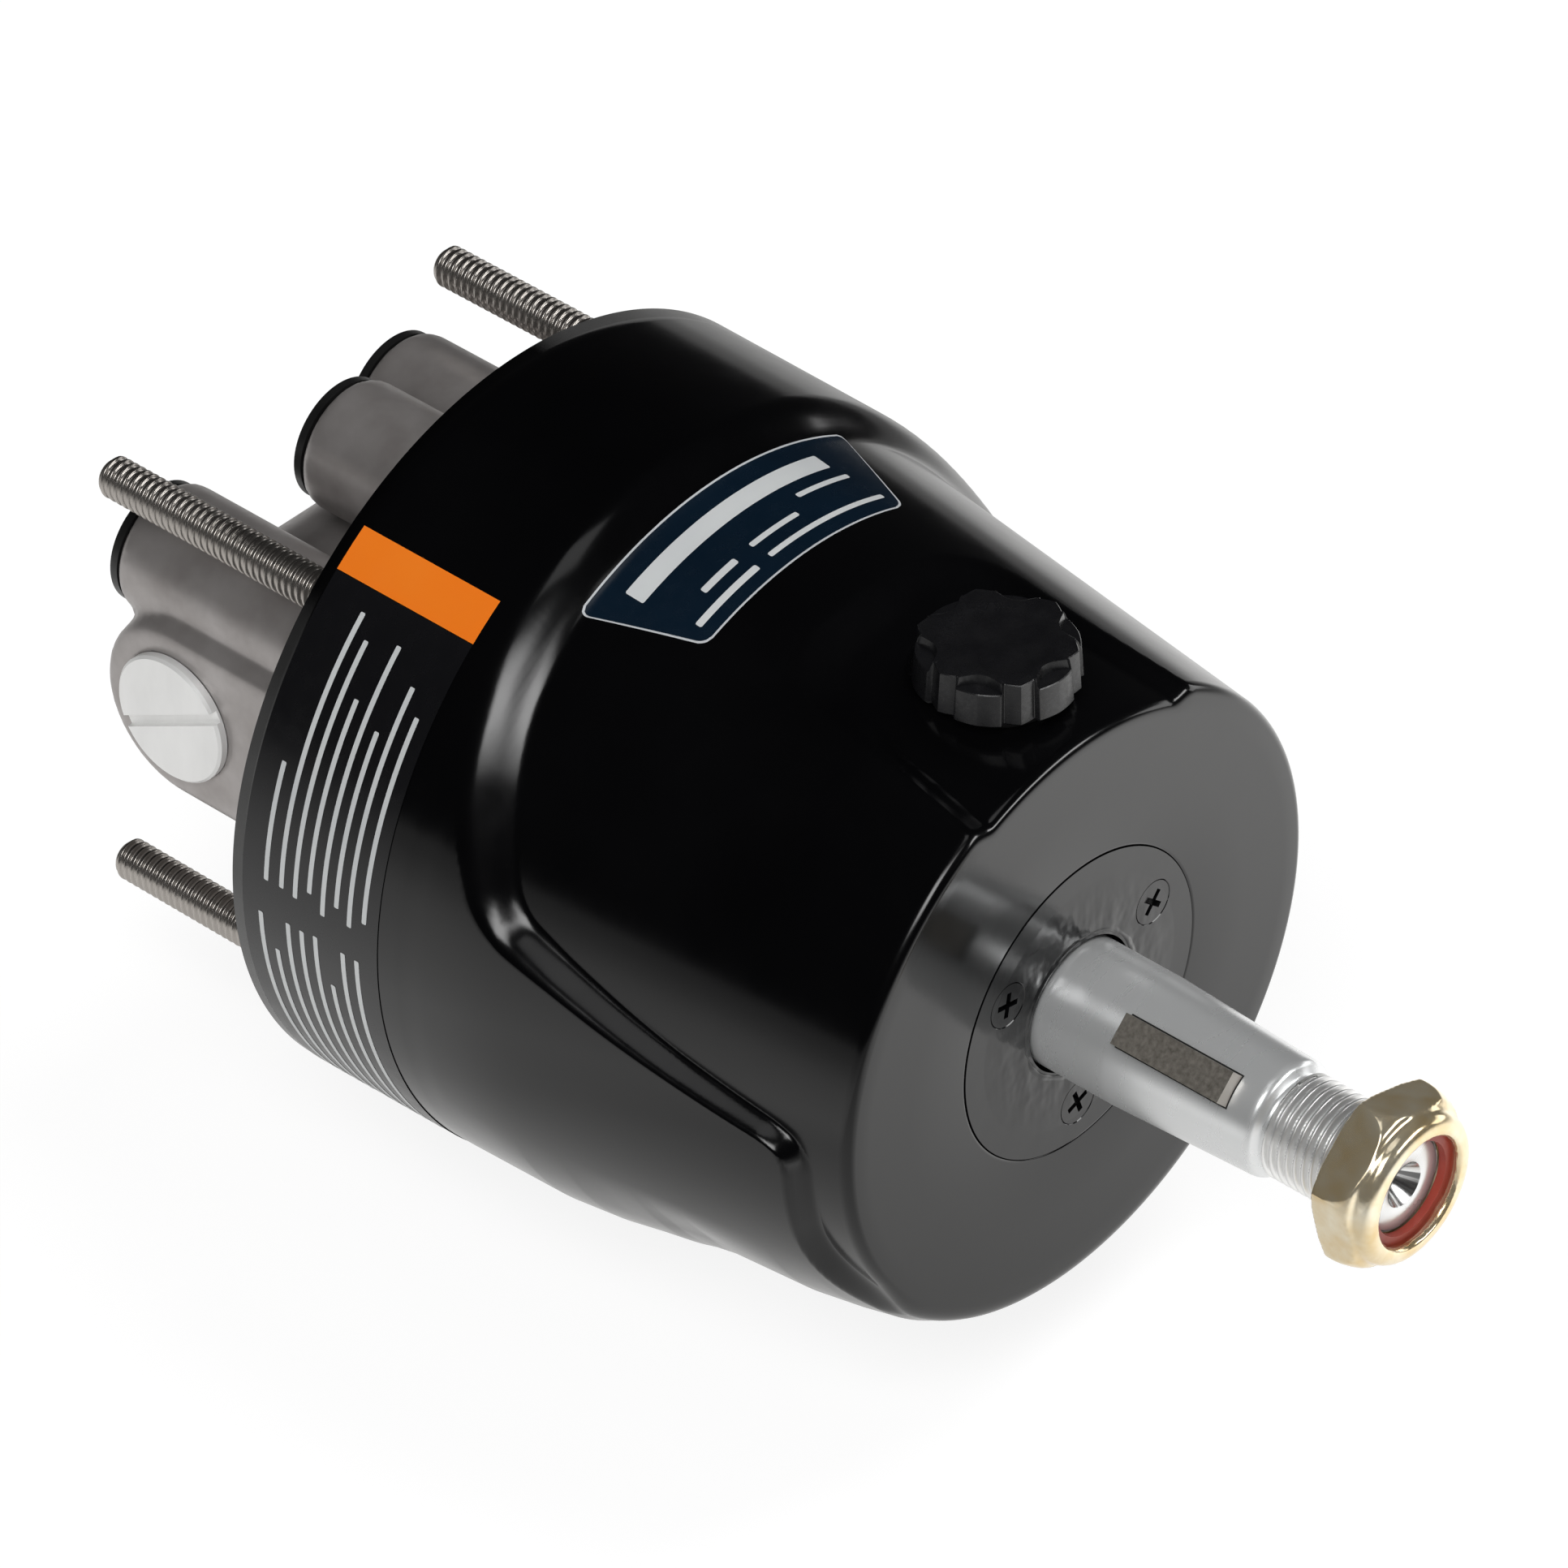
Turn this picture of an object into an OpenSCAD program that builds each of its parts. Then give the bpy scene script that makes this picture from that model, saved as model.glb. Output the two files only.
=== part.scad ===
// Hydraulic helm pump for a boat's steering wheel, in millimetres.
// +Z is up, the shaft points along -Y, and the origin is the centre of the rear mounting face.
// Axial pieces are drawn with local Z running forward along the shaft, then laid down by along_shaft().

/* [Mounting] */
// Radius of the mounting drum at the panel
drum_r = 59.4; // [57:0.1:62]
// Diameter of the circle that the mounting studs stand on
stud_pcd = 97.2; // [95:0.1:100]
// Radius of a mounting stud, a quarter-inch thread
stud_r = 3.175; // [2.9:0.005:4]
// How far the studs reach behind the panel face
stud_reach = 47; // [35:0.5:60]
// How deep the studs are screwed into the housing
stud_depth = 14; // [10:0.5:18]
// Core radius of the studs' thread inside the housing
stud_core_r = 2.75; // [2.4:0.05:2.85]
// How much wider than the stud each hole's countersunk mouth is, in radius
stud_mouth = 0.4; // [0.3:0.05:0.8]

/* [Housing] */
// Distance from the panel face to the flat front face
nose_len = 104.7; // [100:0.1:110]
// Radius of the flat front face
face_r = 46.4; // [44:0.1:47.5]
// How far the rounded front rim runs back
rim_h = 1.9; // [1:0.1:3]
// Radius of the cone 50 mm in front of the panel
cone_r50 = 54.1; // [53:0.1:56]
// Radius that the cone loses for each millimetre forward
cone_slope = 0.1175; // [0.09:0.0005:0.14]
// Where the shoulder on top of the drum begins
shoulder_start = 31; // [28:0.5:34]
// Length of that shoulder
shoulder_len = 6.5; // [4:0.5:9]
// Radius of the raised side lobes 57 mm in front of the panel
lobe_r57 = 57.4; // [56.5:0.1:58.5]
// Radius that the side lobes lose for each millimetre forward
lobe_slope = 0.1486; // [0.12:0.001:0.17]
// Distance from the front face back to the side lobes' front wall
lobe_setback = 8.3; // [6:0.1:12]
// How far the underside bulges out from the cone
belly = 2.7; // [1.5:0.1:3.5]
// Where the drum ends on the underside
belly_start = 56; // [50:0.5:60]
// Radius of the bore that takes the valve body
cavity_r = 43; // [42.5:0.1:44]
// Draft that the bore loses towards its front end
cavity_draft = 2; // [1:0.1:3]
// Distance from the front face back to the oil cavity
front_wall = 8.7; // [7:0.1:12]
// Radius of the bearing boss behind the front face
boss_r = 28; // [26.5:0.1:29.5]

/* [Filler] */
// Distance from the front face back to the filler cap's axis
cap_setback = 15.8; // [15:0.1:17]
// Depth of the pocket round the filler cap
pocket_depth = 2; // [1.2:0.1:2.5]
// Half width of the pocket at its rear end
pocket_half = 18.4; // [17:0.1:20]
// Half width of the pocket at the front face
pocket_mouth = 21.2; // [20:0.1:23]
// Corner radius of the pocket
pocket_corner = 9; // [6:0.1:11]
// Length of the pocket behind the cap's axis
pocket_back = 20.4; // [18:0.1:22]
// Radius of the filler cap
cap_r = 11.5; // [10.5:0.1:12]
// Height of the filler cap's knob
cap_h = 6.8; // [5:0.1:9]
// Radius of the cap's threaded stem
cap_stem_r = 6.3; // [5.5:0.05:6.6]
// Length of the cap's threaded stem
cap_stem_len = 8; // [6:0.1:9]
// How far the cap's wall widens towards its foot
cap_draft = 0.4; // [0.2:0.05:0.5]
// Number of finger pads round the cap
cap_pads = 6; // [5:1:7]
// Radius of the scoop in each pad's upper edge
scoop_r = 12; // [10:0.1:14]
// How far a scoop reaches into the cap's top
scoop_in = 2.4; // [1.5:0.1:3]
// How far a scoop reaches down the cap's side
scoop_down = 1.2; // [0.6:0.1:1.8]
// Radius of the upright grooves beside each pad
groove_r = 1.1; // [0.8:0.1:2]
// Depth of those grooves
groove_depth = 0.7; // [0.4:0.05:1.2]
// Sphere radius of the cap's dished top
dish_r = 40; // [30:1:60]
// Depth of that dish
dish_depth = 0.7; // [0.4:0.05:1]
// Cross-section radius of the cap's sealing ring
cap_ring_r = 1.25; // [1:0.05:1.4]

/* [Seal cover] */
// Radius of the round seal cover
cover_r = 23.84; // [22.5:0.01:25]
// Thickness of the seal cover
cover_t = 4; // [3:0.1:5]
// Circle radius of the cover's screws
cover_screw_pcr = 17.57; // [17.3:0.01:18.5]
// Shank radius of the cover's screws
cover_screw_r = 1.75; // [1.5:0.05:1.9]
// Head radius of the cover's screws
cover_head_r = 3.4; // [3:0.05:3.8]
// How deep the cover's screws reach into the housing
cover_screw_grip = 3.8; // [3:0.1:5]

/* [Shaft] */
// Radius of the shaft in the front bearing and at the taper's large end
shaft_r = 9.97; // [9.6:0.01:10.2]
// Plain shaft in front of the housing, up to the taper
shaft_neck = 12.3; // [9:0.1:16]
// Length of the wheel taper
taper_len = 24.6; // [20:0.1:30]
// Diameter lost over the taper for each unit of length
taper_rate = 0.0833; // [0.06:0.0001:0.1]
// Radius of the wheel nut's thread, five-eighths inch
thread_r = 7.94; // [7.5:0.01:8.2]
// Length of the threaded end
thread_len = 18.6; // [15:0.1:24]
// Mouth radius of the centre hole in the shaft's end
centre_r = 3.4; // [2.5:0.1:4]
// Width of the square key
key_w = 4.76; // [4:0.01:5.5]
// Length of the key
key_len = 19.05; // [15:0.05:21]
// How far the key stands out of the shaft
key_stand = 2.1; // [1.5:0.05:2.6]
// Radius of the shaft inside the barrel
core_r = 9; // [8:0.1:9.5]
// Radius of the shaft's rear journal
journal_r = 7; // [6:0.1:7.5]
// Radius of the collar behind the front bearing
collar_r = 12; // [11.3:0.1:12.4]

/* [Wheel nut] */
// Width across the nut's flats
nut_af = 23.8; // [22:0.1:25]
// Height of the nut's hexagon
nut_hex_h = 6.6; // [5:0.1:8]
// Height of the nut's rounded collar
nut_collar_h = 2.6; // [2.4:0.1:4]
// Outer radius of the nut's collar
nut_collar_r = 11.5; // [11:0.1:11.8]
// Rounding of the collar's rolled lip
nut_lip = 2; // [1.4:0.1:2.2]
// Inner radius of the collar, where the insert sits
nut_bore_r = 9; // [8.6:0.05:9.3]
// How far the nut's back lies behind the end of the shaft
nut_back = 6.3; // [5.5:0.1:7]
// Bore radius of the nut's locking insert
insert_r = 7.2; // [6.8:0.05:7.6]

/* [Front bearing] */
// Outer radius of the front bearing
bearing_r = 18.5; // [18:0.1:19]
// Width of the front bearing
bearing_w = 9; // [8:0.1:11]
// Radius of the front bearing's balls
bearing_ball_r = 2.75; // [2.5:0.01:2.9]
// Number of balls in the front bearing
bearing_balls_n = 9; // [7:1:10]
// Outer radius of the shaft seal
seal_r = 15; // [14.2:0.1:15.3]
// Width of the shaft seal
seal_w = 5.5; // [4.5:0.1:6.5]
// Thickness of the bearing's retaining ring
circlip_t = 1.2; // [0.9:0.05:1.5]

/* [Swash] */
// Tilt of the swash plate
swash_tilt = 17; // [14:0.5:18]
// Radius of the swash plate
swash_r = 32.8; // [32:0.1:33]
// Thickness of the swash plate at its thin side
swash_thin = 3.6; // [3:0.1:5]
// Radius of the swash plate's dowels
dowel_r = 2; // [1.5:0.1:2.2]
// Distance of the dowels in from the bearing boss's edge
dowel_inset = 4.6; // [4:0.1:5]
// How deep the dowels sit in the housing
dowel_grip = 6; // [4:0.1:7]
// How far the dowels reach into the swash plate
dowel_stand = 2.6; // [2:0.1:3]
// Thickness of each thrust race
race_t = 3.2; // [2.6:0.1:4]
// Inner radius of the thrust races
race_in = 15.5; // [15:0.1:16.5]
// Outer radius of the thrust races
race_out = 31; // [30:0.1:32]
// Radius of the thrust balls
thrust_ball_r = 3; // [2.6:0.05:3.2]
// Number of thrust balls
thrust_balls_n = 14; // [10:1:18]

/* [Barrel] */
// Radius of the piston barrel
barrel_r = 32.8; // [32.4:0.1:33]
// Circle radius of the pistons
piston_pcr = 23; // [22.5:0.1:23.5]
// Radius of a piston bore
piston_bore_r = 7.5; // [6.8:0.1:7.8]
// Number of pistons
piston_n = 7; // [5:1:7]
// How far a piston stands out of the barrel at the inner end of its stroke
piston_stand = 3; // [2:0.1:4]
// Radius of a piston's domed end
dome_r = 9; // [8.5:0.1:12]
// Radius of the barrel's drive pin
drive_pin_r = 2.5; // [2:0.1:3]
// Radius of the hollow in a piston that takes its spring
spring_room = 4.6; // [4:0.1:5]
// Wire radius of a piston's spring
spring_wire = 0.55; // [0.4:0.05:0.7]

/* [Valve body] */
// Thickness of the valve body's round flange
flange_t = 16; // [15:0.1:19]
// Thickness of the valve plate
plate_t = 5; // [4:0.1:7]
// Radius of the valve plate
plate_r = 32; // [30:0.1:32.5]
// Radius of the valve plate's pins
plate_pin_r = 2; // [1.5:0.1:2.2]
// How deep those pins sit in the valve body
plate_pin_grip = 4; // [3:0.1:5]
// Distance of those pins outside the piston circle
plate_pin_out = 4; // [3.5:0.1:4.5]
// Circle radius of the screws that hold the valve body
body_screw_pcr = 37.5; // [37.3:0.1:37.8]
// Shank radius of those screws
body_screw_r = 2.5; // [2:0.05:2.6]
// Sideways distance of the hose ports from the shaft
port_x = 24.5; // [23:0.1:26]
// Height of the hose ports above the shaft
port_z = 16.5; // [15.5:0.1:18]
// Outer radius of a port boss
port_boss_r = 10.1; // [9.5:0.1:11]
// Bore radius of a port
port_bore_r = 7; // [6:0.1:7.6]
// How far the hose ports reach behind the panel
port_reach = 47; // [44:0.5:50]
// Height of the top port above the shaft
top_port_z = 27.8; // [27:0.1:29]
// How far the top port reaches behind the panel
top_port_reach = 34; // [28:0.5:40]
// Distance of the lock valve's cross bore behind the panel
cross_y = 33; // [30:0.1:36]
// Radius of the cross boss
cross_boss_r = 14.7; // [13.5:0.1:15]
// Half length of the cross boss
cross_half = 37; // [36:0.1:38]
// Rounding of the cross boss's edges
cross_edge = 2.4; // [1.5:0.1:3]
// Radius of the check valve chambers in the cross bore
chest_r = 8; // [7.7:0.05:8.5]
// Radius of the lock spool's bore
spool_bore_r = 5.5; // [5:0.05:5.8]
// Radius of a check plug's head
plug_head_r = 10.2; // [9.8:0.1:11]
// Height of a check plug's head
plug_head_h = 1.5; // [1.2:0.1:2.5]
// Width of the slot in a check plug's head
plug_slot_w = 1.8; // [1.2:0.1:2.5]
// Depth of that slot
plug_slot_depth = 1.1; // [0.7:0.1:1.2]
// Length of a check plug inside the boss
plug_grip = 9.8; // [8:0.1:11]

/* [Fits] */
// Radial clearance of a running fit
run_fit = 0.05; // [0.02:0.01:0.08]
// Axial gap between turning faces
face_gap = 0.1; // [0.05:0.05:0.3]
// Gap between pieces that must not touch
free_gap = 0.3; // [0.2:0.05:0.5]
// Play between pieces that are assembled by hand
hand_fit = 0.1; // [0.05:0.05:0.15]

/* [Hidden] */
$fn = 72;
eps = 0.01;
far = 200;

// Stations along the shaft, counted forward from the panel face
cover_s = nose_len - cover_t;
seal_s = cover_s - seal_w;
circlip_groove = 0.7;
bearing_front = seal_s - circlip_t - 0.5;
bearing_back = bearing_front - bearing_w;
swash_base = bearing_back - 0.5;
thrust_gap = 3.6;
thrust_h = 2 * race_t + thrust_gap;
seat_s = swash_base - swash_thin - swash_r * tan(swash_tilt);
race_s = seat_s - thrust_h / cos(swash_tilt);
dome_drop = (dome_r + free_gap) / cos(swash_tilt) - dome_r;
piston_tip = race_s - piston_pcr * tan(swash_tilt) - dome_drop;
barrel_front = piston_tip - piston_stand;
plate_s = flange_t;
barrel_back = plate_s + plate_t + face_gap;
bore_floor = barrel_back + 3;
piston_back = bore_floor + 3;
piston_r = piston_bore_r - run_fit;
spring_depth = piston_tip - piston_back - 7;
taper_s = nose_len + shaft_neck;
taper_end = taper_s + taper_len;
taper_end_r = shaft_r - taper_len * taper_rate / 2;
thread_s = taper_end + 2.4;
shaft_end = thread_s + thread_len;
nut_s = shaft_end - nut_back;
cap_s = nose_len - cap_setback;
lobe_front = nose_len - lobe_setback;
cavity_front = nose_len - front_wall;
drum_front_r = drum_r - 0.4;
race_pcr = (race_in + race_out) / 2;
ball_track_r = thrust_ball_r + run_fit;
bearing_pcr = (shaft_r + bearing_r) / 2;
bearing_track_r = bearing_ball_r + run_fit;
bearing_wall = bearing_ball_r * 0.72;

// Places in the lock valve, counted outwards from the middle of the cross bore
chest_x = 12;
seat_t = 4;
seat_hole_r = 3.2;
poppet_nose = chest_x + 1.2;
poppet_flange = chest_x + seat_t + 0.4;
poppet_flange_t = 2;
poppet_stem_r = 4.2;
plug_x = cross_half - plug_grip;
spring_x = poppet_flange + poppet_flange_t;
plug_ring_r = 1.15;
plug_neck_r = chest_r - plug_ring_r + 0.05;
spool_half = 8.5;
spool_pin = 11.2;

// Filler cap heights
function cone_r(s) = cone_r50 - cone_slope * (s - 50);
function floor_r(s) = cone_r(s) - pocket_depth;
cap_reach = cap_r + 0.8;
cap_seat_z = floor_r(cap_s + cap_r) - 0.1;
cap_base_z = cap_seat_z + 2 * cap_ring_r;
cap_ring_pcr = cap_stem_r + cap_ring_r + 0.2;

function mix(a, b, t) = a + (b - a) * t;
function ease(t) = t * t * (3 - 2 * t);
function ends_of_turn(n) = [for (i = [0:n - 1]) i * 360 / n];

// One turn of the frame: local Z runs forward along the shaft
module along_shaft() {
    rotate([90, 0, 0]) children();
}

// The cross bore's frame on one side: local Z runs outwards from the middle
module along_cross(side) {
    mirror([side < 0 ? 1 : 0, 0, 0])
        translate([0, cross_y, 0])
            rotate([0, 90, 0]) children();
}

module rod(r, z0, z1) {
    translate([0, 0, z0]) cylinder(r = r, h = z1 - z0);
}

module ring(r_in, r_out, z0, z1) {
    difference() {
        rod(r_out, z0, z1);
        rod(r_in, z0 - 1, z1 + 1);
    }
}

module torus(r, section) {
    rotate_extrude() translate([r, 0]) circle(r = section, $fn = 32);
}

module around(n, r, start = 0) {
    for (a = ends_of_turn(n)) rotate([0, 0, a + start]) translate([r, 0, 0]) children();
}

// A wire coil along local Z, closed at both ends
function coil_point(r, wire, z0, z1, turns, steps, i, k, sides) =
    let (a = 360 * turns * i / steps, b = 360 * k / sides, q = r + wire * cos(b))
    [q * cos(a), q * sin(a), mix(z0 + wire, z1 - wire, i / steps) + wire * sin(b)];

module coil(r, wire, z0, z1, turns, per_turn = 9, sides = 5) {
    steps = turns * per_turn;
    points = [for (i = [0:steps]) for (k = [0:sides - 1])
        coil_point(r, wire, z0, z1, turns, steps, i, k, sides)];
    skin = [for (i = [0:steps - 1]) for (k = [0:sides - 1])
        let (a = i * sides + k, b = i * sides + (k + 1) % sides)
        each [[a, a + sides, b + sides], [a, b + sides, b]]];
    first = [for (k = [0:sides - 1]) k];
    last = [for (k = [sides - 1:-1:0]) steps * sides + k];
    polyhedron(points = points, faces = concat(skin, [first], [last]), convexity = 10);
}

// Convex block round a list of points
module block(points) {
    hull() polyhedron(points = points, faces = [[for (i = [0:len(points) - 1]) i]]);
}

// The housing's outer form

module cone_body() {
    rim_w = cone_r(nose_len - rim_h) - face_r;
    foot_s = shoulder_start + shoulder_len;
    shoulder = [for (i = [0:8]) [mix(drum_front_r, cone_r(foot_s), ease(i / 8)), mix(shoulder_start,
        foot_s, i / 8)]];
    rim = [for (a = [0:15:90]) [face_r + rim_w * cos(a), nose_len - rim_h + rim_h * sin(a)]];
    rotate_extrude($fn = 144)
        polygon(concat([[0, 0], [drum_r, 0]], shoulder, rim, [[0, nose_len]]));
}

// The underside carries the drum further forward, then a fuller cone
module belly_body() {
    ease_end = belly_start + 18;
    nose_start = lobe_front - 0.4;
    belly_r = cone_r(nose_start) + belly;
    blend = [for (i = [0:6]) [mix(drum_front_r - 1.5, cone_r(ease_end) + belly, ease(i / 6)),
        mix(belly_start, ease_end, i / 6)]];
    nose = [for (a = [0:15:90]) [mix(face_r, belly_r, cos(a)), mix(nose_start, nose_len, sin(a))]];
    intersection() {
        rotate_extrude($fn = 144)
            polygon(concat([[0, 0], [drum_r, 0], [drum_front_r, shoulder_start]], blend, nose, [[0,
                nose_len]]));
        translate([-far / 2, -far - drum_r * 0.42, -1]) cube([far, far, far]);
    }
}

// Both side lobes: a raised cone kept only between sloping walls
lobe_top_rear = 19.8;
lobe_top_front = -0.6;
lobe_low_rear = -33;
lobe_low_front = -22;
wall_reach = 110.9;
wall_fall_z = 0.955;
wall_fall_x = 0.88;
lobe_rear_s = 28;
function lobe_points(x) = let (out = 57 - abs(x)) [
    [x, lobe_top_rear + 0.68 * out, lobe_rear_s],
    [x, lobe_top_front + 0.4 * (out - 5), lobe_front + 3],
    [x, lobe_low_front - 0.6 * (out - 10.5), lobe_front + 3],
    [x, lobe_low_rear - 0.6 * (out - 7), lobe_rear_s]];
function wall_points(x) = [for (z = [10, 46]) each [
    [x, z, 5], [x, z, wall_reach - wall_fall_z * z - wall_fall_x * abs(x)]]];

module side_lobes() {
    flat_end = 57 + (lobe_r57 - drum_front_r) / lobe_slope;
    top_r = lobe_r57 - lobe_slope * (lobe_front - 57);
    intersection() {
        rotate_extrude($fn = 144)
            polygon([[0, 20], [drum_front_r, 20], [drum_front_r, flat_end], [top_r, lobe_front],
                [cone_r(lobe_front + 1.6) - 0.5, lobe_front + 1.6], [0, lobe_front + 1.6]]);
        union() {
            block([for (x = [-62, -42, 42, 62]) each lobe_points(x)]);
            block([for (x = [-62, -30, 30, 62]) each wall_points(x)]);
        }
    }
}

// Pocket round the filler cap, with a floor that keeps the cone's shape
module pocket() {
    back_s = cap_s - pocket_back;
    corner_x = pocket_half - pocket_corner;
    drop = floor_r(nose_len - rim_h) - (face_r - pocket_depth);
    core_rim = [for (a = [0:15:90]) [face_r - pocket_depth + drop * cos(a),
        nose_len - rim_h + rim_h * sin(a)]];
    difference() {
        rotate([-90, 0, 0]) {
            linear_extrude(height = far / 2)
                polygon([[-pocket_half, -back_s - pocket_corner], [pocket_half, -back_s - pocket_corner],
                    [pocket_mouth, -nose_len - 1], [-pocket_mouth, -nose_len - 1]]);
            linear_extrude(height = far / 2)
                polygon([[-corner_x, -back_s], [corner_x, -back_s],
                    [corner_x, -back_s - 2 * pocket_corner], [-corner_x, -back_s - 2 * pocket_corner]]);
            for (side = [-1, 1])
                translate([side * corner_x, -back_s - pocket_corner, 0]) cylinder(r = pocket_corner,
                    h = far / 2);
        }
        rotate_extrude($fn = 144)
            polygon(concat([[0, 40], [floor_r(40), 40]], core_rim, [[0, nose_len], [0, 40]]));
    }
}

module filler_cuts() {
    translate([0, 0, cap_s]) rotate([-90, 0, 0]) {
        rod(cap_stem_r + run_fit, cavity_r - cavity_draft - 4, far / 2);
        rod(cap_ring_pcr + cap_ring_r + 0.9, cap_seat_z, far / 2);
        rod(cap_reach, cap_base_z - free_gap, far / 2);
    }
}

module lugs() {
    lug_r = body_screw_r + 1.7;
    for (a = [60, 120, 240, 300]) rotate([0, 0, a]) {
        translate([body_screw_pcr, 0, 0]) rod(lug_r, flange_t, flange_t + 11);
        translate([body_screw_pcr, -lug_r, flange_t]) cube([cavity_r + 1 - body_screw_pcr, 2 * lug_r, 11]);
    }
}

// Main casting with its bores
module pump_housing() {
    color("#16171a") along_shaft() difference() {
        union() {
            difference() {
                union() {
                    cone_body();
                    belly_body();
                    side_lobes();
                }
                pocket();
                rotate_extrude()
                    polygon([[0, -1], [cavity_r, -1], [cavity_r, flange_t + 12],
                        [cavity_r - cavity_draft, cavity_front],
                        [boss_r, cavity_front], [boss_r, swash_base], [0, swash_base]]);
            }
            lugs();
        }
        rod(bearing_r, swash_base - 1, bearing_front);
        rod(seal_r, bearing_front - 1, nose_len + 1);
        rod(cover_r + hand_fit, cover_s, nose_len + 1);
        around(3, cover_screw_pcr, 30) rod(cover_screw_r, cover_s - cover_screw_grip - 0.5, nose_len);
        around(4, stud_pcd / 2, 45) rod(stud_core_r, -1, stud_depth);
        around(4, stud_pcd / 2, 45) translate([0, 0, -0.1]) cylinder(r1 = stud_r + stud_mouth + 0.1,
            r2 = stud_core_r, h = stud_r + stud_mouth + 0.1 - stud_core_r);
        around(2, boss_r - dowel_inset) rod(dowel_r, swash_base - 1, swash_base + dowel_grip);
        for (a = [60, 120, 240, 300])
            rotate([0, 0, a]) translate([body_screw_pcr, 0, 0]) rod(body_screw_r, flange_t - 1,
                flange_t + 9);
        filler_cuts();
    }
}

module mounting_studs() {
    color("#c9cbcd") along_shaft() around(4, stud_pcd / 2, 45) {
        rod(stud_r, -stud_reach + 0.8, 0);
        rod(stud_core_r, -1, stud_depth);
        translate([0, 0, -stud_reach]) cylinder(r1 = stud_r - 0.8, r2 = stud_r, h = 0.8);
    }
}

// Front end: cover, screws, seal and bearing

module cover_screw_places() {
    around(3, cover_screw_pcr, 30) children();
}

head_h = cover_head_r - cover_screw_r;
oring_pcr = (cover_screw_pcr + cover_screw_r + cover_r) / 2;
cover_oring_r = 0.9;

module seal_cover() {
    color("#1b1c1f") along_shaft() difference() {
        rod(cover_r, cover_s, nose_len);
        rod(shaft_r + 0.6, cover_s - 1, nose_len + 1);
        cover_screw_places() {
            rod(cover_screw_r + hand_fit, cover_s - 1, nose_len);
            translate([0, 0, nose_len - head_h - hand_fit])
                cylinder(r1 = cover_screw_r + hand_fit, r2 = cover_head_r + 2 * hand_fit + 0.2,
                    h = head_h + hand_fit + 0.2);
        }
        ring(oring_pcr - cover_oring_r, oring_pcr + cover_oring_r, cover_s - 1,
            cover_s + 2 * cover_oring_r);
    }
}

module seal_cover_screws() {
    color("#2a2b2e") along_shaft() cover_screw_places() difference() {
        union() {
            rod(cover_screw_r, cover_s - cover_screw_grip, nose_len - head_h);
            translate([0, 0, nose_len - head_h - 0.05])
                cylinder(r1 = cover_screw_r, r2 = cover_head_r, h = head_h);
        }
        for (a = [0, 90])
            rotate([0, 0, a + 20]) translate([-cover_head_r * 0.6, -0.45, nose_len - 1.2])
                cube([cover_head_r * 1.2, 0.9, 2]);
    }
}

module seal_cover_oring() {
    color("#101010") along_shaft() translate([0, 0, cover_s + cover_oring_r]) torus(oring_pcr,
        cover_oring_r);
}

module shaft_seal() {
    lip = shaft_r + run_fit;
    mid = cover_s - seal_w / 2;
    color("#3a2a22") along_shaft() rotate_extrude()
        polygon([[seal_r, seal_s], [seal_r, cover_s], [lip + 0.8, cover_s], [lip, mid + 0.8], [lip,
            mid + 0.3],
            [lip + 0.8, mid - 1], [lip + 1.8, mid + 1], [seal_r - 1.8, mid + 1], [seal_r - 1.8, seal_s]]);
}

module bearing_track() {
    translate([bearing_pcr, (bearing_front + bearing_back) / 2]) circle(r = bearing_track_r, $fn = 48);
}

module bearing_outer_race() {
    edge = bearing_pcr + bearing_wall;
    color("#b9bdc2") along_shaft() rotate_extrude() difference() {
        translate([edge, bearing_back]) square([bearing_r - edge, bearing_w]);
        bearing_track();
    }
}

module bearing_inner_race() {
    edge = bearing_pcr - bearing_wall;
    color("#b9bdc2") along_shaft() rotate_extrude() difference() {
        translate([shaft_r, bearing_back]) square([edge - shaft_r, bearing_w]);
        bearing_track();
    }
}

module bearing_balls() {
    color("#d5d8db") along_shaft() translate([0, 0, (bearing_front + bearing_back) / 2])
        around(bearing_balls_n, bearing_pcr) sphere(r = bearing_ball_r);
}

module bearing_cage() {
    half = bearing_ball_r + 0.9;
    color("#b08d57") along_shaft() translate([0, 0, (bearing_front + bearing_back) / 2]) difference() {
        ring(bearing_pcr - 0.9, bearing_pcr + 0.9, -half, half);
        around(bearing_balls_n, bearing_pcr) rotate([0, 90, 0]) rod(bearing_ball_r + run_fit, -3, 3);
    }
}

module bearing_circlip() {
    color("#6f7377") along_shaft() difference() {
        ring(shaft_r - circlip_groove, shaft_r + 2.2, bearing_front, bearing_front + circlip_t);
        translate([-1.5, 0, bearing_front - 1]) cube([3, far, far]);
    }
}

// Shaft, key and wheel nut

centre_h = 1.5 * centre_r;
key_start = taper_s + 1.5;
key_floor = shaft_r - taper_rate / 2 * (1.5 + key_len / 2) + key_stand - key_w;

module key_box() {
    rotate([0, 0, 135]) translate([key_floor, -key_w / 2, key_start]) cube([key_w, key_w, key_len]);
}

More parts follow.
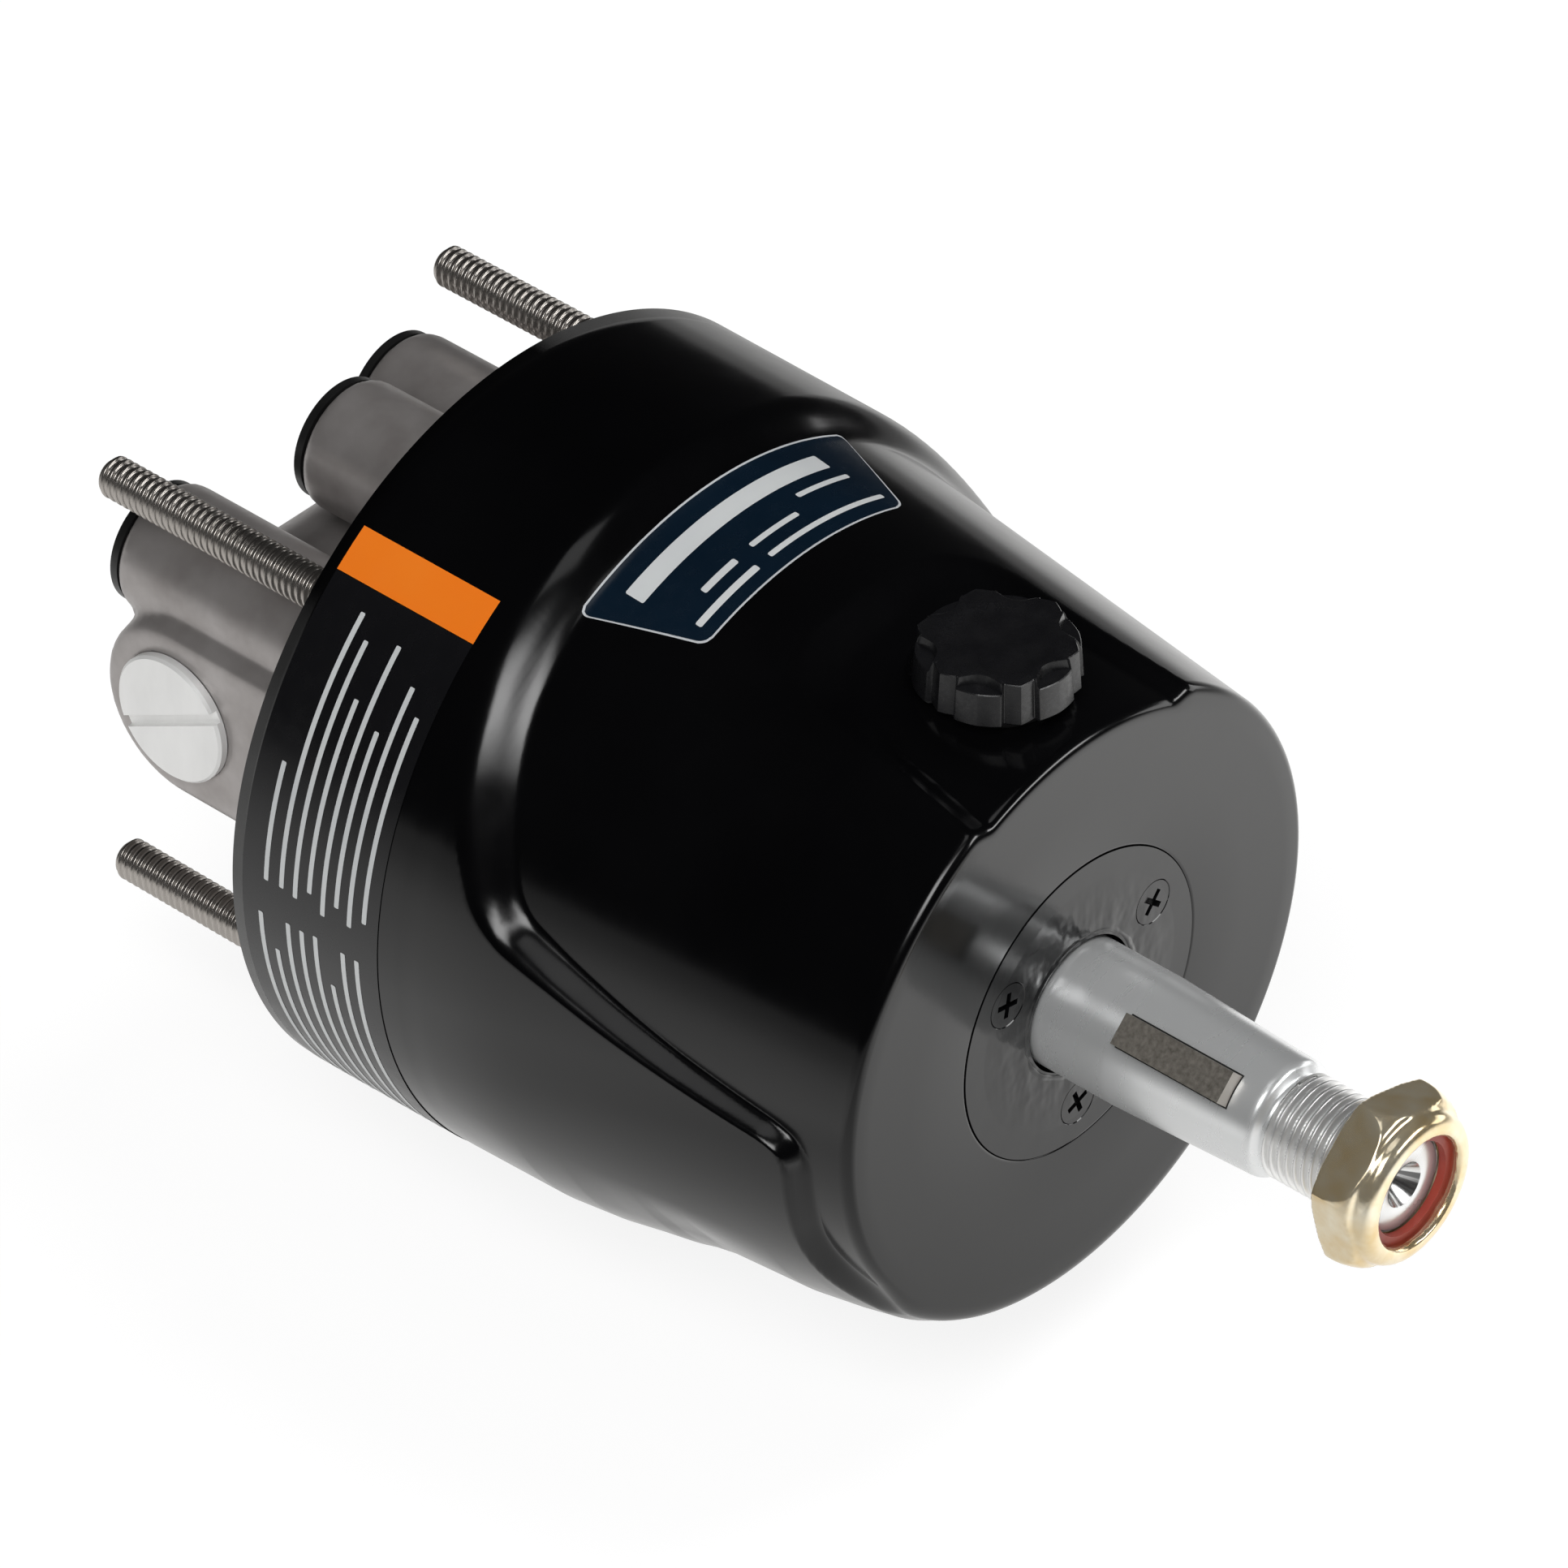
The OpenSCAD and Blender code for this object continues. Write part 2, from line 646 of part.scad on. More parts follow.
module steering_shaft() {
    color("#c4c7ca") along_shaft() difference() {
        rotate_extrude()
            polygon([[0, 5], [journal_r - 0.4, 5], [journal_r, 5.4], [journal_r, plate_s + plate_t - 0.5],
                [core_r, plate_s + plate_t], [core_r, bearing_back - 4.5], [collar_r, bearing_back - 4.5],
                [collar_r, bearing_back], [shaft_r, bearing_back], [shaft_r, taper_s], [taper_end_r,
                    taper_end],
                [taper_end_r - 0.4, taper_end + 0.7], [thread_r, taper_end + 1.4], [thread_r,
                    shaft_end - 0.7],
                [thread_r - 0.7, shaft_end], [0, shaft_end]]);
        translate([0, 0, shaft_end - centre_h])
            cylinder(r1 = centre_r - centre_h * tan(30), r2 = centre_r, h = centre_h + eps);
        key_box();
        translate([0, 0, (barrel_back + barrel_front) / 2]) rotate([0, 90, 0]) rod(drive_pin_r, -far, far);
        ring(shaft_r - circlip_groove, collar_r + 1, bearing_front, bearing_front + circlip_t);
    }
}

module shaft_key() {
    color("#4b4d50") along_shaft() key_box();
}

// The hexagon's corners are rounded off towards a rolled collar that holds the insert
module shaft_nut() {
    hex_top = nut_s + nut_hex_h;
    nut_top = hex_top + nut_collar_h;
    flat_r = nut_af / 2;
    corner_r = nut_af / sqrt(3);
    shoulder = [for (a = [0:15:90]) [mix(flat_r, corner_r, cos(a)), mix(nut_s + 0.7, hex_top, sin(a))]];
    lip = [for (a = [0:15:90]) [nut_collar_r - nut_lip + nut_lip * cos(a),
        nut_top - nut_lip + nut_lip * sin(a)]];
    color("#c9a24a") along_shaft() difference() {
        intersection() {
            rotate([0, 0, 45]) translate([0, 0, nut_s]) cylinder(r = corner_r, h = nut_top - nut_s,
                $fn = 6);
            rotate_extrude()
                polygon(concat([[0, nut_s], [flat_r, nut_s]], shoulder, lip, [[0, nut_top]]));
        }
        rod(thread_r, nut_s - 1, shaft_end + 0.1);
        rod(nut_bore_r, shaft_end + 0.1, nut_top - 0.9);
        translate([0, 0, nut_top - 0.91]) cylinder(r1 = nut_bore_r - 0.7, r2 = nut_bore_r - 0.2, h = 0.92);
    }
}

module nut_insert() {
    top = nut_s + nut_hex_h + nut_collar_h;
    color("#b5322a") along_shaft() ring(insert_r, nut_bore_r, shaft_end + 0.1, top - 1.6);
}

// Swash plate and its thrust bearing, drawn flat and then tilted

module tilted() {
    translate([0, 0, race_s]) rotate([swash_tilt, 0, 0]) children();
}

module swash_plate() {
    color("#8d9196") along_shaft() difference() {
        rod(swash_r, seat_s - swash_r, swash_base);
        rod(collar_r + 1.5, 0, far);
        tilted() rod(far, -far, thrust_h);
        around(2, boss_r - dowel_inset) rod(dowel_r, swash_base - dowel_stand, swash_base + dowel_grip);
    }
}

module swash_dowels() {
    color("#a9adb1") along_shaft() around(2, boss_r - dowel_inset) rod(dowel_r,
        swash_base - dowel_stand, swash_base + dowel_grip);
}

module thrust_ring(z0, z1) {
    rotate_extrude() difference() {
        translate([race_in, z0]) square([race_out - race_in, z1 - z0]);
        translate([race_pcr, thrust_h / 2]) circle(r = ball_track_r, $fn = 48);
    }
}

module thrust_seat() {
    color("#b4b8bc") along_shaft() tilted() thrust_ring(thrust_h - race_t, thrust_h);
}

module thrust_race() {
    color("#b4b8bc") along_shaft() tilted() thrust_ring(0, race_t);
}

module thrust_balls() {
    color("#d5d8db") along_shaft() tilted() translate([0, 0, thrust_h / 2])
        around(thrust_balls_n, race_pcr) sphere(r = thrust_ball_r);
}

module thrust_cage() {
    color("#b08d57") along_shaft() tilted() translate([0, 0, thrust_h / 2]) difference() {
        ring(race_pcr - 4.5, race_pcr + 4.5, -0.8, 0.8);
        around(thrust_balls_n, race_pcr) sphere(r = thrust_ball_r + run_fit);
    }
}

// Barrel with its pistons

module piston_places() {
    around(piston_n, piston_pcr, 90) children();
}

drive_pin_half = piston_pcr - piston_bore_r - 1;

module rotor_barrel() {
    color("#9a9ea3") along_shaft() difference() {
        rod(barrel_r, barrel_back, barrel_front);
        rod(core_r, 0, far);
        piston_places() {
            rod(piston_bore_r, bore_floor, far);
            rod(3, 0, far);
        }
        translate([0, 0, (barrel_back + barrel_front) / 2]) rotate([0, 90, 0])
            rod(drive_pin_r, -drive_pin_half, drive_pin_half);
    }
}

module drive_pin() {
    color("#a9adb1") along_shaft() translate([0, 0, (barrel_back + barrel_front) / 2]) rotate([0, 90, 0])
        rod(drive_pin_r, -drive_pin_half, drive_pin_half);
}

module pistons() {
    color("#c4c7ca") along_shaft() piston_places() difference() {
        intersection() {
            rod(piston_r, piston_back, piston_tip + 1);
            union() {
                rod(piston_r + 1, piston_back - 1,
                    piston_tip - dome_r + sqrt(dome_r * dome_r - piston_r * piston_r));
                translate([0, 0, piston_tip - dome_r]) sphere(r = dome_r);
            }
        }
        rod(spring_room, piston_back - 1, piston_back + spring_depth);
    }
}

module piston_springs() {
    color("#7d8185") along_shaft() piston_places()
        coil(spring_room - 1.45 * spring_wire, spring_wire, bore_floor, piston_back + spring_depth, 6,
            8, 5);
}

// Valve plate and rear bush

module valve_plate() {
    color("#9b8a62") along_shaft() difference() {
        rod(plate_r, plate_s, plate_s + plate_t);
        rod(core_r + 1.5, 0, far);
        for (a = [-60, 120])
            rotate([0, 0, a]) translate([0, 0, plate_s - 1])
                rotate_extrude(angle = 120) translate([piston_pcr - 2.5, 0]) square([5, plate_t + 2]);
        around(2, piston_pcr + plate_pin_out, 90) rod(plate_pin_r, plate_s - 1, plate_s + plate_t - 1);
    }
}

module valve_plate_pins() {
    color("#a9adb1") along_shaft() around(2, piston_pcr + plate_pin_out, 90)
        rod(plate_pin_r, plate_s - plate_pin_grip, plate_s + plate_t - 1);
}

bush_wall = 2;

module rear_bush() {
    color("#b08d57") along_shaft() ring(journal_r + run_fit, journal_r + bush_wall, 4.5, flange_t - 0.5);
}

// Valve body: round flange, hose ports and the cross bore of the lock valve

flange_r = cavity_r - hand_fit;
body_oring_r = 1.3;
flange_back = 1;

// Boss along the shaft line that ends in a rounded edge behind the panel
module port_boss(reach) {
    edge = 1.6;
    rotate_extrude()
        polygon(concat([[0, flange_back + 1], [port_boss_r, flange_back + 1]],
            [for (a = [0:15:90]) [port_boss_r - edge + edge * cos(a), -reach + edge - edge * sin(a)]],
            [[0, -reach]]));
}

module port_places() {
    for (side = [-1, 1]) translate([side * port_x, port_z, 0]) children();
}

// Cross boss: a round end behind, carried straight forward to the flange, all edges rounded
function boss_corner(from) = [for (a = [from:15:from + 90])
    [cross_half - cross_edge + cross_edge * cos(a), cross_boss_r - cross_edge + cross_edge * sin(a)]];

module cross_boss() {
    quarter = boss_corner(0);
    right = [for (q = quarter) [q[1], q[0]]];
    left = [for (i = [len(quarter) - 1:-1:0]) [quarter[i][1], -quarter[i][0]]];
    rotate_extrude() polygon(concat([[0, -cross_half]], [for (i = [len(left) - 1:-1:0]) left[i]],
        [for (i = [len(right) - 1:-1:0]) right[i]], [[0, cross_half]]));
}

module cross_block() {
    q = boss_corner(0);
    n = len(q) - 1;
    polygon(concat(q, [for (i = [n:-1:0]) [-q[i][0], q[i][1]]], [for (i = [0:n]) [-q[i][0], -q[i][1]]],
        [for (i = [n:-1:0]) [q[i][0], -q[i][1]]]));
}

module valve_body_form() {
    along_shaft() {
        rod(flange_r, flange_back, flange_t);
        port_places() port_boss(port_reach);
        translate([0, top_port_z, 0]) port_boss(top_port_reach);
        translate([0, 0, -cross_y]) linear_extrude(height = cross_y + flange_back + 1) cross_block();
        for (side = [-1, 1]) rotate([0, 0, side < 0 ? 180 - 25 : 25])
            translate([0, -3.5, -11]) cube([norm([port_x, port_z]), 7, 13]);
        translate([-9, top_port_z - 12, -14]) cube([18, 8, 16]);
    }
    translate([0, cross_y, 0]) rotate([0, 90, 0]) cross_boss();
}

// Slanted oil way from the valve plate to the spool's end chamber
module oil_way(side) {
    x0 = piston_pcr;
    x1 = chest_x - 1.4;
    run = flange_t + cross_y;
    lean = atan((x0 - x1) / run);
    translate([side * x0, 0, flange_t]) rotate([0, side * lean, 0])
        rod(1.9, -(run - 2) / cos(lean), 2);
}

module valve_body() {
    color("#8f9397") difference() {
        valve_body_form();
        along_shaft() {
            rod(journal_r + bush_wall, 4, flange_t + 1);
            port_places() rod(port_bore_r, -port_reach - 1, -cross_y + 5);
            translate([0, top_port_z, 0]) {
                rod(port_bore_r, -top_port_reach - 1, -10);
                rotate([-atan(9 / (flange_t + 12)), 0, 0]) rod(2.2, -14, flange_t + 4);
            }
            around(2, piston_pcr + plate_pin_out, 90) rod(plate_pin_r, plate_s - plate_pin_grip,
                plate_s + 1);
            for (side = [-1, 1]) oil_way(side);
            ring(flange_r - 2 * body_oring_r + hand_fit, far, flange_t - 7 - body_oring_r,
                flange_t - 7 + body_oring_r);
            body_screw_places() {
                rod(body_screw_r + hand_fit, -1, flange_t + 1);
                rod(body_head_r + 0.15, -far, flange_back + body_head_h);
            }
        }
        for (side = [-1, 1]) {
            along_cross(side) {
                rod(chest_r, chest_x, cross_half + 5);
                rod(chest_r + 1.2, cross_half - 2 * plug_ring_r, cross_half + 5);
            }
            translate([side * port_x, cross_y, 0]) rod(2.4, 0, port_z);
        }
        translate([0, cross_y, 0]) rotate([0, 90, 0]) rod(spool_bore_r, -chest_x - 1, chest_x + 1);
    }
}

module valve_body_oring() {
    color("#101010") along_shaft() translate([0, 0, flange_t - 7])
        torus(cavity_r - body_oring_r, body_oring_r);
}

body_head_r = 1.7 * body_screw_r;
body_head_h = 2 * body_screw_r;

module body_screw_places() {
    for (a = [60, 120, 240, 300]) rotate([0, 0, a]) translate([body_screw_pcr, 0, 0]) children();
}

module valve_body_screws() {
    color("#55585c") along_shaft() body_screw_places() difference() {
        union() {
            rod(body_screw_r, flange_back + 1, flange_t + 8);
            rod(body_head_r, flange_back, flange_back + body_head_h);
        }
        translate([0, 0, flange_back - 1]) cylinder(r = body_screw_r * 0.95, h = 3.5, $fn = 6);
    }
}

// Thin caps that close the three ports
module port_plug(reach) {
    rod(port_boss_r - 0.7, -reach - 1.3, -reach);
    ring(port_bore_r - 1.4, port_bore_r - hand_fit, -reach - 0.5, -reach + 8);
}

module port_plugs() {
    color("#141414") along_shaft() {
        port_places() port_plug(port_reach);
        translate([0, top_port_z, 0]) port_plug(top_port_reach);
    }
}

// Lock valve: a spool in the middle, with a sprung check valve on either side

module check_plugs() {
    slot_turn = -27.7;
    head_top = cross_half + plug_head_h;
    color("#c2c4c2") for (side = [-1, 1]) along_cross(side) difference() {
        rotate_extrude()
            polygon([[poppet_stem_r + run_fit, plug_x], [chest_r, plug_x], [chest_r,
                cross_half - 2 * plug_ring_r],
                [plug_neck_r, cross_half - 2 * plug_ring_r], [plug_neck_r, cross_half], [plug_head_r,
                    cross_half],
                [plug_head_r, head_top - 0.4], [plug_head_r - 0.4, head_top], [0, head_top],
                [0, cross_half - 2], [poppet_stem_r + run_fit, cross_half - 2]]);
        rotate([0, 0, slot_turn]) translate([-plug_slot_w / 2, -far / 2, head_top - plug_slot_depth])
            cube([plug_slot_w, far, far]);
    }
}

module check_plug_orings() {
    color("#101010") for (side = [-1, 1]) along_cross(side)
        translate([0, 0, cross_half - plug_ring_r])
            torus(plug_neck_r + plug_ring_r, plug_ring_r);
}

module check_seats() {
    color("#b4b8bc") for (side = [-1, 1]) along_cross(side) rotate_extrude()
        polygon([[seat_hole_r, chest_x], [chest_r, chest_x], [chest_r, chest_x + seat_t],
            [seat_hole_r + 2.4, chest_x + seat_t], [seat_hole_r, chest_x + seat_t - 2.4]]);
}

module check_poppet(side) {
    inset = face_gap * sqrt(2);
    nose_r = seat_hole_r - inset - (chest_x + seat_t - 2.4 - poppet_nose);
    cone_top = seat_hole_r + 2.1 - inset;
    along_cross(side) rotate_extrude()
        polygon([[0, poppet_nose], [nose_r, poppet_nose], [cone_top, poppet_nose + cone_top - nose_r],
            [cone_top, poppet_flange], [chest_r - 1, poppet_flange], [chest_r - 1, spring_x],
            [poppet_stem_r, spring_x], [poppet_stem_r, plug_x + 2.6], [0, plug_x + 2.6]]);
}

module check_poppet_left() {
    color("#a3a7ab") check_poppet(-1);
}

module check_poppet_right() {
    color("#a3a7ab") check_poppet(1);
}

module check_spring(side) {
    along_cross(side) coil((poppet_stem_r + chest_r) / 2, 0.5, spring_x, plug_x, 4, 10, 5);
}

module check_spring_left() {
    color("#7d8185") check_spring(-1);
}

module check_spring_right() {
    color("#7d8185") check_spring(1);
}

module lock_spool() {
    land = spool_bore_r - run_fit;
    color("#a3a7ab") translate([0, cross_y, 0]) rotate([0, 90, 0]) rotate_extrude()
        polygon([[0, -spool_pin], [1.6, -spool_pin], [1.6, -spool_half], [land, -spool_half], [land, -3],
            [land - 1.5, -3], [land - 1.5, 3], [land, 3], [land, spool_half], [1.6, spool_half],
            [1.6, spool_pin], [0, spool_pin]]);
}

// Filler cap with scooped finger pads and a dished top

module cap_frame() {
    translate([0, -cap_s, 0]) children();
}

// Centre of a scoop's sphere: distances from the cap's axis and above its top
scoop_half = norm([scoop_in, scoop_down]) / 2;
scoop_out = sqrt(scoop_r * scoop_r - scoop_half * scoop_half) / (2 * scoop_half);
scoop_x = cap_r - scoop_in / 2 + scoop_out * scoop_down;
scoop_z = scoop_out * scoop_in - scoop_down / 2;
pad_turn = 27;
pad_half = 17.5;

module filler_cap() {
    top = cap_base_z + cap_h;
    foot_r = cap_r + cap_draft;
    color("#141416") cap_frame() difference() {
        union() {
            rotate_extrude()
                polygon([[0, cap_base_z], [foot_r - 0.5, cap_base_z], [foot_r, cap_base_z + 0.5],
                    [cap_r, top - 0.3],
                    [cap_r - 0.3, top], [0, top]]);
            rod(cap_stem_r, cap_base_z - cap_stem_len, cap_base_z + 1);
        }
        around(cap_pads, scoop_x, pad_turn) translate([0, 0, top + scoop_z]) sphere(r = scoop_r);
        for (side = [-1, 1]) around(cap_pads, cap_r + groove_r - groove_depth, pad_turn + side * pad_half)
            rod(groove_r, cap_base_z - 1, top + 1);
        translate([0, 0, top + dish_r - dish_depth]) sphere(r = dish_r, $fn = 96);
    }
}

module filler_cap_oring() {
    color("#101010") cap_frame() translate([0, 0, cap_seat_z + cap_ring_r]) torus(cap_ring_pcr, cap_ring_r);
}

pump_housing();
mounting_studs();
seal_cover();
seal_cover_screws();
seal_cover_oring();
shaft_seal();
bearing_outer_race();
bearing_inner_race();
bearing_balls();
bearing_cage();
bearing_circlip();
steering_shaft();
shaft_key();
shaft_nut();
nut_insert();
swash_plate();
swash_dowels();
thrust_seat();
thrust_race();
thrust_balls();
thrust_cage();
rotor_barrel();
drive_pin();
pistons();
piston_springs();
valve_plate();
valve_plate_pins();
rear_bush();
valve_body();
valve_body_oring();
valve_body_screws();
port_plugs();
check_plugs();
check_plug_orings();
check_seats();
check_poppet_left();
check_poppet_right();
check_spring_left();
check_spring_right();
lock_spool();
filler_cap();
filler_cap_oring();
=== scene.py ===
"""Looks of a hydraulic helm pump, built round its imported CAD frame.

Lengths in the tables are millimetres. A place on the pump is given by phi, the angle about the shaft in
degrees from +X towards +Z, and s, the distance in front of the panel.
"""
import math

import bpy
import numpy as np
from mathutils import Matrix, Vector


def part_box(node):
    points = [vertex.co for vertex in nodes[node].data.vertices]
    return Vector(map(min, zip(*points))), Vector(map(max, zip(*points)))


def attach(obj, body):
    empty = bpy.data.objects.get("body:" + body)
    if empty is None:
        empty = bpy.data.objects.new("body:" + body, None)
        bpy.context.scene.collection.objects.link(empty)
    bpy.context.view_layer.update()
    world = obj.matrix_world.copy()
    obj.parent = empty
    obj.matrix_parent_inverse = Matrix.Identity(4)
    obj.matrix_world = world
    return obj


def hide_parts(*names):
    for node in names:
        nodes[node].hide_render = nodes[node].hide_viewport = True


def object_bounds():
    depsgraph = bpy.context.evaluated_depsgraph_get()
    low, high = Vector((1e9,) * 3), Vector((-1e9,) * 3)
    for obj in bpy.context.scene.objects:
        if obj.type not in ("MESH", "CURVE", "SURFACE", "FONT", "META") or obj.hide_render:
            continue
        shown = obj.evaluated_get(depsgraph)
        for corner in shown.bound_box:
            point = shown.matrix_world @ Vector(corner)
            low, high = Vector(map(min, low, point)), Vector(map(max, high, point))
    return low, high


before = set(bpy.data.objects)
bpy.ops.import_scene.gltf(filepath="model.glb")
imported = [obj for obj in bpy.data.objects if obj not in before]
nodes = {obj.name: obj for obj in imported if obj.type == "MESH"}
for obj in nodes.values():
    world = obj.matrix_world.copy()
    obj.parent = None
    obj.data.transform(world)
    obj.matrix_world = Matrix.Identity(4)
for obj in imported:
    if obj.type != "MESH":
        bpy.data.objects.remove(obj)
first_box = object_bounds()
MM = 0.001

# Sizes shared with the CAD, read from its nodes where they can be
NOSE = -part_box("pump_housing")[0].y / MM
COVER_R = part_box("seal_cover")[1].x / MM
CAP_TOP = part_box("filler_cap")[1].z / MM
CAP_S = -(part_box("filler_cap")[0].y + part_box("filler_cap")[1].y) / 2 / MM
SHAFT_END = -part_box("steering_shaft")[0].y / MM
STUD_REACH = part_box("mounting_studs")[1].y / MM
STUD_R, STUD_ROOT, STUD_PITCH = 3.175, 2.62, 1.27
STUD_PCR = 48.6


# Meshes

def link(mesh, name, material):
    obj = bpy.data.objects.new(name, mesh)
    bpy.context.scene.collection.objects.link(obj)
    if material:
        mesh.materials.clear()
        mesh.materials.append(material)
    return obj


def mesh_object(name, verts, faces, material, smooth=True):
    mesh = bpy.data.meshes.new(name)
    mesh.from_pydata([tuple(v) for v in np.asarray(verts) * MM], [], faces)
    mesh.update()
    if smooth:
        mesh.polygons.foreach_set("use_smooth", [True] * len(mesh.polygons))
    return link(mesh, name, material)


def grid_faces(rows, cols, wrap):
    last = cols if wrap else cols - 1
    return [(i * cols + j, i * cols + (j + 1) % cols, (i + 1) * cols + (j + 1) % cols, (i + 1) * cols + j)
            for i in range(rows - 1) for j in range(last)]


def on_shaft(phi, r, s):
    """Points at angle phi, radius r and distance s."""
    a = np.radians(phi)
    return np.stack([r * np.cos(a), -s + 0 * a, r * np.sin(a)], axis=-1)


def turned(name, profile, material, steps=96):
    """A turned piece: profile is a list of (radius, distance)."""
    phi = np.arange(steps) * 360.0 / steps
    rows = [on_shaft(phi, r, s) for r, s in profile]
    return mesh_object(name, np.concatenate(rows), grid_faces(len(profile), steps, True), material)


def smooth_step(t):
    t = np.clip(t, 0, 1)
    return t * t * (3 - 2 * t)


def table(points, s):
    return np.interp(s, [p[0] for p in points], [p[1] for p in points])


# Housing surface: radius as a function of angle and distance

CONE_R50, CONE_SLOPE = 54.1, 0.1175
LOBE_R57, LOBE_SLOPE, LOBE_TOP_R, LOBE_BLEND = 57.4, 0.1486, 59.0, 2.0
# Underside of the housing: (distance, radius)
BELLY = [(0, 59.4), (31, 59.0), (48, 58.5), (56, 57.5), (62, 56.3), (67, 55.4), (70, 54.6), (75, 53.7),
         (89, 52.6), (96, 51.4), (101, 50.3), (103, 49.2), (105, 48.0)]
BELLY_Z, BELLY_BLEND = -21, 12
DRUM_END, DRUM_BLEND = 36, 6
# Outline of what is raised above the cone, seen from the side: (distance, height)
RAISED_EDGE = [(34.2, 90), (34.2, 50), (35.0, 46), (36, 42), (37.5, 37), (40.2, 29.5), (42.6, 24), (45.2, 19),
               (48.6, 15.6), (57.2, 12.2), (67.1, 8.5), (75.9, 5.7), (85.1, 3.3), (92.5, 1.6), (95.6, 0.2),
               (97.05, -3), (97.05, -17), (97.8, -22), (99.8, -28), (103, -34), (112, -44), (112, -90),
               (-20, -90), (-20, 90)]
RAISED_CORNER = 4.0
# Half the width of the wall along that outline: (distance, half width)
WALL_HALF = [(34, 4.2), (42, 3.9), (47, 2.9), (57, 2.1), (76, 1.3), (93, 1.0), (97, 1.0), (99, 1.6),
             (105, 3.5)]
# Pocket round the filler cap
POCKET_DEPTH, POCKET_CORNER, POCKET_BACK = 2.0, 9.0, CAP_S - 20.4
POCKET_REAR_HALF, POCKET_MOUTH_HALF = 18.4, 21.2
POCKET_WALL = [(70, 3.4), (88, 1.7), (NOSE, 1.8)]
SEAT_R, SEAT_BLEND, SEAT_Z = 13.4, 2.0, 47.3
# Front face, its rounded rim and the bore behind the drum
FACE_R, RIM_H = 46.4, 1.9
REAR_BORE_R, REAR_BORE_DEPTH = 43.0, 16.0
# Grid of the skin, finer along the lobes' walls: (start, step)
SKIN_TURNS = [(48, 0.6), (132, 0.8), (150, 0.36), (202, 0.8), (222, 1.8), (318, 0.8), (338, 0.36), (390, 0.8),
              (408, 1)]
SKIN_ROWS = [(0, 4), (28, 0.8), (46, 0.55), (96, 0.45), (NOSE - RIM_H, 1)]
NORMAL_STEP, MEAN_R = 0.3, 55.0


def cone_r(s):
    return CONE_R50 - CONE_SLOPE * (s - 50)


def lobe_r(s):
    raised = LOBE_R57 - LOBE_SLOPE * (s - 57)
    return -np.logaddexp(-LOBE_TOP_R * LOBE_BLEND, -raised * LOBE_BLEND) / LOBE_BLEND


def inside_distance(points, u, v):
    """Signed distance to a closed outline, positive inside."""
    best = np.full(u.shape, 1e9)
    inside = np.zeros(u.shape, bool)
    for (u0, v0), (u1, v1) in zip(points, points[1:] + points[:1]):
        du, dv = u1 - u0, v1 - v0
        t = np.clip(((u - u0) * du + (v - v0) * dv) / (du * du + dv * dv), 0, 1)
        best = np.minimum(best, np.hypot(u - u0 - t * du, v - v0 - t * dv))
        if v0 != v1:
            inside ^= ((v0 > v) != (v1 > v)) & (u < u0 + (v - v0) * du / dv)
    return np.where(inside, best, -best)


def rounded(points, radius, steps=7):
    """The same closed outline with each corner replaced by a short curve."""
    out = []
    for i, here in enumerate(points):
        here = np.array(here, float)
        before = np.array(points[i - 1], float) - here
        after = np.array(points[(i + 1) % len(points)], float) - here
        cut = min(radius, 0.45 * np.hypot(*before), 0.45 * np.hypot(*after))
        a, b = here + before / np.hypot(*before) * cut, here + after / np.hypot(*after) * cut
        for k in np.linspace(0, 1, steps):
            out.append(tuple((1 - k) ** 2 * a + 2 * k * (1 - k) * here + k ** 2 * b))
    return out


RAISED_LINE = rounded(RAISED_EDGE, RAISED_CORNER)


def pocket_share(x, s):
    """How much of the pocket's depth is cut at a place on the cone: 0 outside, 1 on its floor."""
    straight = POCKET_BACK + POCKET_CORNER
    half = np.interp(s, [straight, NOSE], [POCKET_REAR_HALF, POCKET_MOUTH_HALF])
    qx, qs = np.abs(x) - (half - POCKET_CORNER), straight - s
    corner = np.hypot(np.maximum(qx, 0), np.maximum(qs, 0))
    outside = corner + np.minimum(np.maximum(qx, qs), 0) - POCKET_CORNER
    wall = table(POCKET_WALL, s)
    return smooth_step((wall - outside) / (2 * wall))


def housing_r(phi, s):
    phi, s = np.broadcast_arrays(np.asarray(phi, float), np.asarray(s, float))
    a = np.radians(phi)
    cone = cone_r(s)
    lobe, belly = lobe_r(s), table(BELLY, s)
    z = lobe * np.sin(a)
    below = np.maximum(smooth_step((BELLY_Z - z) / BELLY_BLEND), smooth_step((DRUM_END - s) / DRUM_BLEND))
    raised = lobe + (belly - lobe) * below
    wall = table(WALL_HALF, s)
    share = smooth_step(0.5 + inside_distance(RAISED_LINE, s, z) / (2 * wall))
    r = cone + (raised - cone) * share
    x = r * np.cos(a)
    r = r - POCKET_DEPTH * pocket_share(x, s) * (np.sin(a) > 0.5)
    seat = smooth_step((SEAT_R - np.hypot(x, s - CAP_S)) / SEAT_BLEND) * (np.sin(a) > 0.8)
    return r + (np.minimum(r, SEAT_Z / np.maximum(np.sin(a), 0.5)) - r) * seat


def steps_between(marks):
    """Values from each mark to the next: (start, step) pairs, closed by the last start."""
    out = []
    for (start, step), (end, _) in zip(marks, marks[1:]):
        out += list(np.linspace(start, end, max(1, round((end - start) / step)), endpoint=False))
    return np.array(out)


